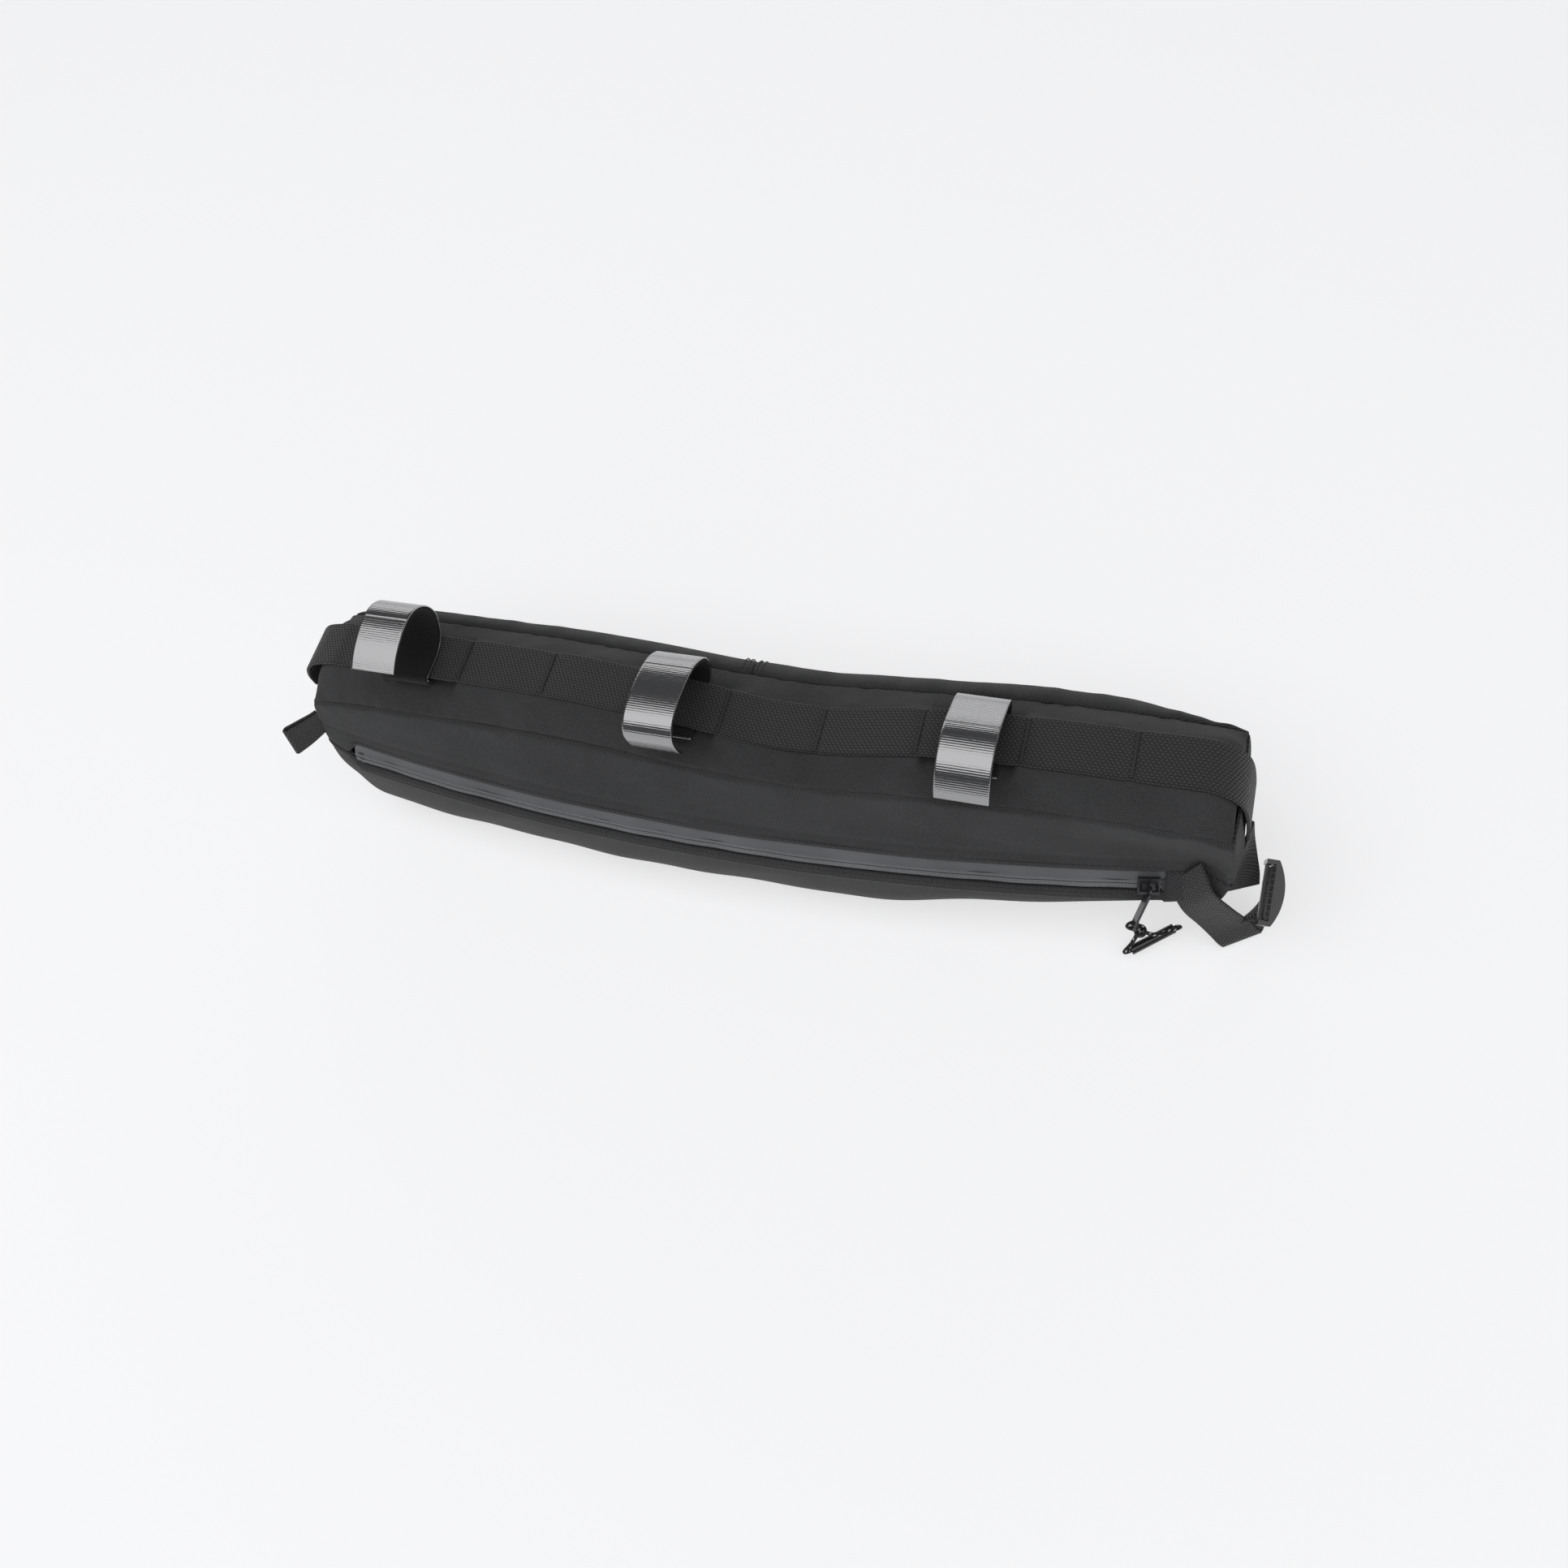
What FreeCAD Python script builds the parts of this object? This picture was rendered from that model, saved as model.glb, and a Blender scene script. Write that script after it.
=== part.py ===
"""Bicycle half-frame bag: sewn panels, a curved zipper, a daisy-chain webbing on top with three
hook-and-loop straps, and an adjustable webbing loop at the front lower corner.

Frame: millimetres, +X towards the front end (the short one), +Z up, -Y is the side with the zipper.
The origin is on the plane that the bag stands on, under the middle of the bag's length.
"""

import FreeCAD, Part
import math
import os

# ---- driving dimensions -------------------------------------------------------------------------------
FABRIC = 1.2            # laminated pack cloth of the panels
BUTT = 1.5              # the gussets stop this far inside the edge of the side panels
SEAM_Z = 98.5           # height of the two top seams
GUSSET_HALF = 29.0      # half the distance between the seams, top and ends
BASE_HALF = 31.0        # the same at the base
REAR_X, REAR_BOW = -233.0, 11.0
FRONT_X, FRONT_BOW = 238.0, 2.5
REAR_CROWN, FRONT_CROWN = 5.0, 2.0       # how far the end gussets are proud in their middle
FRONT_FILL = 3.0        # and how much fuller the front one is low down on the zip side
END_BUTT = 2.4          # the end gussets stop this far inside the side panels
DIAGONAL_X, DIAGONAL_SLOPE, DIAGONAL_BLEND = 73.0, 0.265, 30.0
FAR_BULGE = 21.0
FAR_SEAM_X, FAR_SEAM_LEAN = -9.0, 26.0   # the diagonal seam of the far side
WEB_WIDTH, WEB_THICK = 25.0, 1.6
WEB_TOP = 112.2         # top of the webbing where it isn't dipped
TACK_PITCH, FIRST_TACK_X, TACK_COUNT = 47.64, -189.6, 9
LAY_GAP = 0.15          # between two layers that lie on one another
CELL_GAP = 5.4          # free height under the webbing where a strap passes
STRAP_CELLS = (0, 3, 6)
ZIP_RADIUS, ZIP_MID_X, ZIP_MID_Y = 1400.0, -27.0, -52.0
ZIP_Z, ZIP_Z_X, ZIP_FALL = 54.5, -12.0, 0.0178   # height, where, and its fall per millimetre towards +X
ZIP_LEAN = 0.5          # the tapes go in this much for each millimetre up
ZIP_OPENING = 7.1       # half the opening between the two zip-side panels
TAPE_DEPTH, TAPE_THICK = 1.55, 0.8
UPPER_FLANGE, LOWER_FLANGE = 10.0, 7.6  # how far each tape reaches from the middle of the zipper
SLOT_HALF, COIL_OUT, COIL_HIGH = 0.8, 2.6, 1.2
ZIP_REAR_X, ZIP_CLOSE_X = -217.0, -228.0  # where the opening begins to narrow, and where it is shut
SLIDER_X = 207.0
SLIDER_LENGTH, SLIDER_HALF = 13.0, 5.0
STRAP_WIDTH, COAT, PILE = 25.0, 1.2, 1.0
PLY_GAP = 0.02
CORNER_X = 214.0        # where the zipper ends under the corner patch
LOOP_WIDTH, LOOP_THICK = 25.0, 1.6
BUCKLE_BOW = 5.2        # how far the buckle's outer bars stand off the webbing in their middle
CORD_R = 1.0
KNOT_RING_R = 3.1       # the turn of cord drawn tight round both legs
KNOT_WRAP_R = 0.9
BAR_R, BAR_BORE_R = 2.4, 1.2

V = FreeCAD.Vector
UP = V(0, 0, 1)
PARTS = "parts"


# ---- small helpers ------------------------------------------------------------------------------------
def lerp(a, b, t):
    return a + (b - a) * t


def bump(x, centre, width):
    return math.exp(-(((x - centre) / width) ** 2))


def ease(t):
    t = min(1.0, max(0.0, t))
    return t * t * (3 - 2 * t)


def save(name, shape):
    """Writes one node, and says so when a shape isn't sound."""
    if shape.Volume < 0:
        shape.reverse()
    if not shape.isValid():
        print("not valid:", name)
    shape.exportStep(os.path.join(PARTS, name + ".step"))
    return shape


def surface_of(rows):
    surface = Part.BSplineSurface()
    surface.interpolate(rows)
    return surface


def skin(point, inward, nu, nv, thickness=FABRIC):
    """A sheet of cloth: point(u, w) is its outer face, and its thickness goes inward."""
    us = [i / (nu - 1) for i in range(nu)]
    ws = [j / (nv - 1) for j in range(nv)]
    step = 0.004

    def normal(u, w):
        u0, u1 = max(0.0, u - step), min(1.0, u + step)
        w0, w1 = max(0.0, w - step), min(1.0, w + step)
        along = point(u1, w) - point(u0, w)
        across = point(u, w1) - point(u, w0)
        return along.cross(across).normalize()

    sign = 1.0 if normal(0.5, 0.5).dot(inward) > 0 else -1.0
    outer = [[point(u, w) for w in ws] for u in us]
    inner = [[point(u, w) + normal(u, w) * (sign * thickness) for w in ws] for u in us]
    surfaces = [surface_of(outer), surface_of(inner)]
    faces = [s.toShape() for s in surfaces]
    bounds = surfaces[0].bounds()
    for value in bounds[:2]:
        edges = [s.uIso(value).toShape() for s in surfaces]
        faces.append(Part.makeRuledSurface(edges[0], edges[1]))
    for value in bounds[2:]:
        edges = [s.vIso(value).toShape() for s in surfaces]
        faces.append(Part.makeRuledSurface(edges[0], edges[1]))
    shell = Part.Compound(faces)
    shell.sewShape()
    solid = Part.Solid(shell.Shells[0])
    if solid.Volume < 0:
        solid.reverse()
    return solid


def ribbon(stations, width, thickness):
    """A strap through stations, each (centre, direction across its width, normal)."""
    profiles = []
    for centre, across, normal in stations:
        a = V(across).normalize() * (width / 2)
        n = V(normal).normalize() * (thickness / 2)
        corners = [centre - a - n, centre + a - n, centre + a + n, centre - a + n]
        profiles.append(Part.makePolygon(corners + [corners[0]]))
    return Part.makeLoft(profiles, True, True)


def stations_on(guide, samples):
    """Stations evenly along a smooth line; guide is a list of (centre, direction across)."""
    line = Part.BSplineCurve()
    last = len(guide) - 1
    line.interpolate(Points=[g[0] for g in guide], Parameters=[i / last for i in range(last + 1)])
    sides = [V(g[1]).normalize() for g in guide]
    stations = []
    for i in range(samples):
        t = i / (samples - 1)
        k = min(int(t * last), last - 1)
        share = ease(t * last - k)
        tangent = V(line.tangent(t)[0])
        across = sides[k] * (1 - share) + sides[k + 1] * share
        across = (across - tangent * across.dot(tangent)).normalize()
        stations.append((line.value(t), across, tangent.cross(across)))
    return stations


def tube(points, radius):
    line = Part.BSplineCurve()
    line.interpolate(points)
    edge = line.toShape()
    start = Part.makeCircle(radius, points[0], line.tangent(line.FirstParameter)[0])
    sweep = Part.BRepOffsetAPI.MakePipeShell(Part.Wire(edge))
    sweep.add(Part.Wire(start))
    sweep.build()
    sweep.makeSolid()
    return sweep.shape()


# ---- the bag's form -----------------------------------------------------------------------------------
def ridge_y(x):
    """The top strip wanders sideways where the bag is fullest."""
    return 2.0 - 7.0 * bump(x, 25.0, 80.0)


def web_top_z(x):
    """The webbing dips between the second and the third strap."""
    return WEB_TOP - 7.4 * bump(x, 42.0, 40.0)


def top_z(x):
    return SEAM_Z - 5.0 * (abs(x - 3.0) / 237.0) ** 10


def base_z(x):
    """Flat, then rising along the diagonal towards the front, and a little at the rear corner."""
    d = x - DIAGONAL_X
    rise = 0.0
    if d > DIAGONAL_BLEND:
        rise = d * DIAGONAL_SLOPE
    elif d > -DIAGONAL_BLEND:
        rise = (d + DIAGONAL_BLEND) ** 2 / (4 * DIAGONAL_BLEND) * DIAGONAL_SLOPE
    if x < -190.0:
        rise += 6.0 * ((-190.0 - x) / 43.0) ** 2
    return rise


def height_share(x, z):
    return min(1.0, max(0.0, (z - base_z(x)) / (top_z(x) - base_z(x))))


def rear_x(v):
    return REAR_X - REAR_BOW * (1 - (2 * v - 1) ** 2)


def front_x(v):
    return FRONT_X + FRONT_BOW * (1 - (2 * v - 1) ** 2)


def far_seam_x(v):
    return FAR_SEAM_X + FAR_SEAM_LEAN * (v - 0.5)


def zip_y(x):
    return ZIP_MID_Y + ZIP_RADIUS - math.sqrt(ZIP_RADIUS**2 - (x - ZIP_MID_X) ** 2)


def zip_z(x):
    return ZIP_Z - ZIP_FALL * (x - ZIP_Z_X)


def opening(x):
    """Half the opening between the zip-side panels; it narrows to nothing behind the zipper's end."""
    return lerp(ZIP_OPENING, 0.3, ease((ZIP_REAR_X - x) / (ZIP_REAR_X - ZIP_CLOSE_X)))


def fade_to(x, start, end):
    """1 up to start, then falling like a quarter circle to 0 at end."""
    s = (x - start) / (end - start)
    return math.sqrt(max(0.0, 1 - min(1.0, max(0.0, s)) ** 2))


def near_y(x, z):
    """The zip side: out from the top seam to the zipper, and below it round to the base seam."""
    zc, yc, v = zip_z(x), zip_y(x), height_share(x, z)
    top_seam, base_seam = ridge_y(x) - GUSSET_HALF, -BASE_HALF
    if z >= zc + ZIP_OPENING:
        rise = top_z(x) - zc - ZIP_OPENING
        t = (z - zc - ZIP_OPENING) / rise
        edge = yc + ZIP_LEAN * ZIP_OPENING
        pull = ZIP_LEAN * rise - (top_seam - edge)
        y = edge + (top_seam - edge) * t + pull * t * (1 - t) ** 2
    elif z <= zc - ZIP_OPENING:
        low = max(1.0, zc - ZIP_OPENING - base_z(x))
        t = min(1.0, max(0.0, (z - base_z(x)) / low))
        edge = yc - ZIP_LEAN * ZIP_OPENING
        y = base_seam + (edge - base_seam) * (2 * t - t * t) ** 0.4
        y -= 0.55 * ZIP_LEAN * low * t * (1 - t)
    else:
        y = yc + ZIP_LEAN * (z - zc)
    seam = lerp(base_seam, top_seam, v)
    rear, front = rear_x(v), front_x(v)
    fade = fade_to(-x, -ZIP_REAR_X + 3, -rear) * fade_to(x, CORNER_X + 2, front) ** 2
    return seam + (y - seam) * fade


def far_y(x, z):
    """The plain side: one full bulge from the top seam to the base seam, dying out forwards."""
    v = height_share(x, z)
    seam = lerp(BASE_HALF, GUSSET_HALF + ridge_y(x), v)
    fade = fade_to(-x, 195.0, -rear_x(v)) * (1 - ease((x - 160.0) / 110.0)) * fade_to(x, 214.0, front_x(v))
    return seam + FAR_BULGE * fade * math.sqrt(max(0.0, math.sin(math.pi * v)))


def strap_cell(x):
    """1 where the webbing stands clear of the gusset for a strap, 0 where it is sewn down."""
    for cell in STRAP_CELLS:
        start = FIRST_TACK_X + cell * TACK_PITCH
        into, left = x - start - 1.0, start + TACK_PITCH - 1.0 - x
        if into > 0 and left > 0:
            return ease(into / 4.0) * ease(left / 4.0)
    return 0.0


def crown_z(x):
    """Height of the top gusset along its middle."""
    proud = web_top_z(x) - WEB_THICK - lerp(LAY_GAP, CELL_GAP, strap_cell(x)) - top_z(x)
    return top_z(x) + proud * fade_to(-x, 214.0, -REAR_X) * fade_to(x, 219.0, FRONT_X)


# ---- panels -------------------------------------------------------------------------------------------
def even(w):
    return w


def from_base(w):
    """Closer together towards the lower edge, where the cloth turns under."""
    return w * w


def both_edges(w):
    return (1 - math.cos(math.pi * w)) / 2


def side_panel(ends, low, high, y_of, inward, spread, nu, nv, crowd=0.85):
    """ends are two functions of the height share; low and high are two functions of x."""

    def point(u, w):
        u, s = lerp(u, both_edges(u), crowd), spread(w)
        guess = lerp(ends[0](0.5), ends[1](0.5), u)
        v = height_share(guess, lerp(low(guess), high(guess), s))
        x = lerp(ends[0](v), ends[1](v), u)
        z = lerp(low(x), high(x), s)
        return V(x, y_of(x, z), z)

    return skin(point, inward, nu, nv)


def side_panels():
    near, far = V(0, 1, 0), V(0, -1, 0)
    ends = (rear_x, lambda v: CORNER_X)
    upper = lambda x: zip_z(x) + opening(x)
    lower = lambda x: zip_z(x) - opening(x)
    far_rear = (rear_x, lambda v: far_seam_x(v) - 0.15)
    far_front = (lambda v: far_seam_x(v) + 0.15, front_x)
    save("near_upper_panel", side_panel((rear_x, front_x), upper, top_z, near_y, near, even, 60, 9))
    save("near_lower_panel", side_panel(ends, base_z, lower, near_y, near, from_base, 60, 11))
    save("corner_patch", corner_patch())
    save("far_rear_panel", side_panel(far_rear, base_z, top_z, far_y, far, both_edges, 34, 13))
    save("far_front_panel", side_panel(far_front, base_z, top_z, far_y, far, both_edges, 34, 13))


def corner_patch():
    """The reinforcement at the front lower corner, from the base up to the upper panel's edge."""
    rows = []
    for i in range(15):
        row = []
        for j in range(7):
            low, high = base_z(CORNER_X + 12.0), zip_z(CORNER_X + 12.0) + ZIP_OPENING
            v = height_share(CORNER_X + 12.0, lerp(low, high, j / 6))
            x = lerp(CORNER_X + 0.3, front_x(v), i / 14)
            z = lerp(base_z(x), zip_z(x) + ZIP_OPENING - 0.3, j / 6)
            row.append(V(x, near_y(x, z), z))
        rows.append(row)
    return surface_of(rows).toShape().extrude(V(0, FABRIC, 0))


def top_gusset():
    def point(u, w):
        x = lerp(REAR_X, FRONT_X, lerp(u, both_edges(u), 0.3))
        half = GUSSET_HALF - BUTT
        q = lerp(-half, half, w)
        flank = max(0.0, (abs(q) / half - 0.42) / 0.58)
        z = top_z(x) + (crown_z(x) - top_z(x)) * (1 - flank**1.4)
        return V(x, ridge_y(x) + q, z)

    return skin(point, V(0, 0, -1), 170, 13)


def base_gusset():
    """The bottom strip: rising at the rear, exactly flat on the standing plane, then up to the front."""
    half = BASE_HALF - BUTT
    edges = []
    for lift in (0.0, FABRIC):
        runs = []
        for x0, x1 in ((REAR_X, -190.0), (DIAGONAL_X - DIAGONAL_BLEND, DIAGONAL_X + DIAGONAL_BLEND)):
            curve = Part.BSplineCurve()
            stops = [lerp(x0, x1, i / 8) for i in range(9)]
            curve.interpolate([V(x, -half, base_z(x) + lift) for x in stops])
            runs.append(curve)
        flat = Part.makeLine(runs[0].value(runs[0].LastParameter), runs[1].value(runs[1].FirstParameter))
        front = V(FRONT_X, -half, base_z(FRONT_X) + lift)
        slope = Part.makeLine(runs[1].value(runs[1].LastParameter), front)
        edges.append([runs[0].toShape(), flat, runs[1].toShape(), slope])
    caps = [
        Part.makeLine(V(REAR_X, -half, base_z(REAR_X)), V(REAR_X, -half, base_z(REAR_X) + FABRIC)),
        Part.makeLine(V(FRONT_X, -half, base_z(FRONT_X)), V(FRONT_X, -half, base_z(FRONT_X) + FABRIC)),
    ]
    wire = Part.Wire(Part.__sortEdges__(edges[0] + edges[1] + caps))
    return Part.Face(wire).extrude(V(0, 2 * half, 0))


def end_gusset(end_x, edge_x, outward, crown, fill):
    """The strip between the side panels at one end, proud in its middle."""

    def point(u, w):
        low, high = base_z(edge_x) + BUTT, top_z(edge_x) - BUTT
        z = lerp(low, high, u)
        v = height_share(edge_x, z)
        half = lerp(BASE_HALF, GUSSET_HALF, v) - END_BUTT
        q = 2 * w - 1
        proud = crown * (1 - q * q) * math.sin(math.pi * u)
        proud += fill * bump(q, -0.6, 0.35) * bump(u, 0.3, 0.25) * (1 - q**8)
        return V(end_x(v) + outward * proud, lerp(0.0, ridge_y(edge_x), v) + q * half, z)

    return skin(point, V(-outward, 0, 0), 11, 13)


def gussets():
    save("top_gusset", top_gusset())
    save("base_gusset", base_gusset())
    save("rear_gusset", end_gusset(rear_x, REAR_X, -1, REAR_CROWN, 0.0))
    save("front_gusset", end_gusset(front_x, FRONT_X, 1, FRONT_CROWN, FRONT_FILL))


def base_stiffener():
    """A foam board that lies loose-fitted on the flat of the base."""
    size = (250.0, 52.0, 3.0)
    board = Part.makeBox(size[0], size[1], size[2], V(-212.0, -size[1] / 2, FABRIC + 1.6))
    upright = [e for e in board.Edges if abs(e.tangentAt(0).z) > 0.9]
    return board.makeFillet(8.0, upright)


def seam_binding(side):
    """The bound seam allowance that hangs inside, under a top seam."""
    stations = []
    for i in range(41):
        x = lerp(-206.0, 210.0, i / 40)
        y = ridge_y(x) + side * (GUSSET_HALF - 6.0)
        stations.append((V(x, y, top_z(x) - 9.0), UP, V(0, 1, 0)))
    return ribbon(stations, 9.0, 1.0)


# ---- zipper -------------------------------------------------------------------------------------------
def zip_angle(x):
    return math.degrees(math.asin((x - ZIP_MID_X) / ZIP_RADIUS))


def zip_place(across, out, angle):
    """A point by its distance across the tapes (up), its height out from them, and its angle."""
    norm = math.sqrt(1 + ZIP_LEAN**2)
    r = ZIP_RADIUS + (out - ZIP_LEAN * across) / norm
    h = (across + ZIP_LEAN * out) / norm
    a = math.radians(angle)
    return V(ZIP_MID_X + r * math.sin(a), ZIP_MID_Y + ZIP_RADIUS - r * math.cos(a), ZIP_Z + h)


def tilt(shape):
    """The zipper falls a little towards the front, as a whole."""
    shape.rotate(V(ZIP_Z_X, 0, ZIP_Z), V(0, 1, 0), math.degrees(math.atan(ZIP_FALL)))
    return shape


def tilt_point(point):
    return tilt(Part.Vertex(point)).Point


def along_zip(profile, x0, x1):
    """A profile of (across, out) points carried along the zipper's line from x0 to x1."""
    a0, a1 = zip_angle(x0), zip_angle(x1)
    corners = [zip_place(s, n, a0) for s, n in profile]
    face = Part.Face(Part.makePolygon(corners + [corners[0]]))
    solid = face.revolve(V(ZIP_MID_X, ZIP_MID_Y + ZIP_RADIUS, 0), UP, a1 - a0)
    return tilt(solid)


def box_profile(s0, s1, n0, n1):
    return [(s0, n0), (s1, n0), (s1, n1), (s0, n1)]


def zipper():
    bottom = -TAPE_DEPTH - TAPE_THICK
    coil = (-TAPE_DEPTH + 0.02, -TAPE_DEPTH + 0.02 + COIL_HIGH)
    end_x = CORNER_X - 0.5
    for name, side, flange in (("upper", 1, UPPER_FLANGE), ("lower", -1, LOWER_FLANGE)):
        tape = box_profile(side * SLOT_HALF, side * flange, bottom, -TAPE_DEPTH)
        row = box_profile(side * SLOT_HALF, side * COIL_OUT, coil[0], coil[1])
        save("zipper_tape_" + name, along_zip(tape, -219.0, end_x))
        save("zipper_coil_" + name, along_zip(row, -214.5, end_x - 2.5))
    rear = box_profile(-3.4, 3.4, -TAPE_DEPTH + 0.02, 0.2)
    front = box_profile(-3.4, 3.4, -TAPE_DEPTH + 0.02, 0.0)
    save("zipper_rear_stop", along_zip(rear, -218.0, -215.0))
    save("zipper_front_stop", along_zip(front, end_x - 2.2, end_x - 0.4))


def slider():
    half = SLIDER_LENGTH / 2 - 3.4
    x0, x1 = SLIDER_X - half - 3.4, SLIDER_X + 3.4
    under = -TAPE_DEPTH - TAPE_THICK - 0.35
    plate = along_zip(box_profile(-SLIDER_HALF, SLIDER_HALF, 0.1, 1.6), x0, x1)
    lower = along_zip(box_profile(-SLIDER_HALF, SLIDER_HALF, under - 1.1, under), x0, x1)
    neck = along_zip(box_profile(-0.5, 0.5, under - 0.5, 0.6), x1 - 3.5, x1 - 0.5)
    body = plate.fuse(lower).fuse(neck).removeSplitter()
    foot_a = along_zip(box_profile(-0.9, 0.9, 1.62, 6.0), x0 + 0.8, x0 + 2.0)
    foot_b = along_zip(box_profile(-0.9, 0.9, 1.62, 6.0), x1 - 2.0, x1 - 0.8)
    rod = along_zip(box_profile(-0.7, 0.7, 4.6, 6.0), x0 + 0.8, x1 - 0.8)
    save("slider_body", body)
    save("slider_bridge", foot_a.fuse(foot_b).fuse(rod).removeSplitter())
    return (x0 + x1) / 2


# ---- puller -------------------------------------------------------------------------------------------
def pull_tab(top, foot):
    """A flat metal tab, hung by a round eye; its lower eye takes the cord."""
    down = (foot - top).normalize()
    turn = math.radians(zip_angle(SLIDER_X))
    flat_normal = V(math.cos(turn), math.sin(turn), 0)
    flat_normal = (flat_normal - down * flat_normal.dot(down)).normalize()
    side = down.cross(flat_normal)
    length, half, thick = (foot - top).Length, 2.9, 1.2

    def at(a, b):
        return top + down * a + side * b - flat_normal * (thick / 2)

    outline = [at(0.0, -half), at(length, -half), at(length, half), at(0.0, half)]
    plate = Part.Face(Part.makePolygon(outline + [outline[0]])).extrude(flat_normal * thick)
    for place in (0.0, length):
        plate = plate.fuse(Part.makeCylinder(half, thick, at(place, 0), flat_normal))
    plate = plate.removeSplitter()
    for place, radius in ((0.0, 1.9), (length - 1.0, 1.85)):
        hole = Part.makeCylinder(radius, thick + 2, at(place, 0) - flat_normal, flat_normal)
        plate = plate.cut(hole)
    return plate, at(length - 1.0, 0) + flat_normal * (thick / 2), flat_normal


def puller():
    mid_x = slider()
    top = tilt_point(zip_place(0.0, 5.3, zip_angle(mid_x)))
    foot = top + V(-4.6, -8.2, -23.0)
    tab, eye, flat_normal = pull_tab(top, foot)
    save("pull_tab", tab)
    hang = (foot - top).normalize()
    bar_a, bar_b = V(202.0, -50.2, 5.4), V(220.2, -35.8, 8.0)
    run = (bar_b - bar_a).normalize()
    length = (bar_b - bar_a).Length
    bar = Part.makeCylinder(BAR_R, length, bar_a, run)
    bar = bar.cut(Part.makeCylinder(BAR_BORE_R, length + 2, bar_a - run, run))
    save("puller_bar", bar)
    knot = V(205.0, -45.0, 20.6)
    out_a, out_b = V(0, 0, 0) - run, run
    path = [bar_a + run * 3.0, bar_a + run * 0.5, bar_a + out_a * 1.6 + UP * 0.3]
    path += [bar_a + out_a * 3.6 + UP * 3.4, V(201.8, -49.4, 13.4), knot + V(-1.4, -0.4, -0.6)]
    path += [eye - flat_normal * 2.3 + hang * 3.8, eye - flat_normal * 1.35 + hang * 0.3]
    path += [eye + flat_normal * 1.35 + hang * 0.3, eye + flat_normal * 2.3 + hang * 3.8]
    path += [knot + V(1.4, 0.4, -0.6), V(212.2, -43.0, 14.6)]
    path += [bar_b + out_b * 2.8 + V(0, -2.4, 3.0), bar_b + out_b * 1.7 + V(0, -0.3, 0.2)]
    path += [bar_b - run * 0.5, bar_b - run * 3.0]
    save("puller_cord", tube(path, CORD_R))
    collar_mid, collar_axis = V(204.14, -45.35, 21.32), V(-0.45, -0.15, 0.88)
    save("puller_knot", Part.makeTorus(KNOT_RING_R, KNOT_WRAP_R, collar_mid, collar_axis))


# ---- top webbing and straps ---------------------------------------------------------------------------
def daisy_chain():
    """One webbing along the crest that rolls over both ends of the bag."""
    points = [(-245.2, 83.0), (-244.6, 90.0), (-241.8, 97.0), (-237.4, 103.0), (-230.6, 108.0)]
    points += [(x, web_top_z(x) - WEB_THICK / 2) for x in range(-218, 221, 6)]
    points += [(226.6, 110.4), (233.4, 107.0), (238.0, 101.8), (240.6, 95.5)]
    points += [(242.2, 88.0), (243.6, 78.0), (244.4, 68.0)]
    guide = [(V(x, ridge_y(x), z), V(0, 1, 0)) for x, z in points]
    return ribbon(stations_on(guide, 150), WEB_WIDTH, WEB_THICK)


def bar_tacks():
    """Dense rows of thread across the webbing."""
    for i in range(TACK_COUNT):
        x = FIRST_TACK_X + i * TACK_PITCH
        z = web_top_z(x) + 0.35
        tack = Part.makeBox(2.4, WEB_WIDTH - 3.0, 0.5, V(x - 1.2, ridge_y(x) - WEB_WIDTH / 2 + 1.5, z))
        save("bar_tack_%d" % (i + 1), tack)


def profile_band(points, depth0, depth1, start, end, x0):
    """A strap's profile from its outer line, between two depths below that line, extruded along X."""
    line = Part.BSplineCurve()
    line.interpolate([V(x0, y, z) for y, z in points])
    first, last = line.FirstParameter, line.LastParameter
    outer, inner = [], []
    count = 34
    for i in range(count):
        t = lerp(first, last, lerp(start, end, i / (count - 1)))
        tangent = V(line.tangent(t)[0])
        outward = V(0, tangent.z, -tangent.y)
        outer.append(line.value(t) - outward * depth0)
        inner.append(line.value(t) - outward * depth1)
    edges = []
    for row in (outer, inner):
        curve = Part.BSplineCurve()
        curve.interpolate(row)
        edges.append(curve.toShape())
    caps = [Part.makeLine(outer[0], inner[0]), Part.makeLine(outer[-1], inner[-1])]
    wire = Part.Wire(Part.__sortEdges__(edges + caps))
    return Part.Face(wire).extrude(V(STRAP_WIDTH, 0, 0)), line, (first, last)


def strap_top_under(x0, x1):
    """Height of a strap's upper face where it passes under the webbing, for all of its travel."""
    return min(web_top_z(x0), web_top_z(x1)) - WEB_THICK - 0.6


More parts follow.
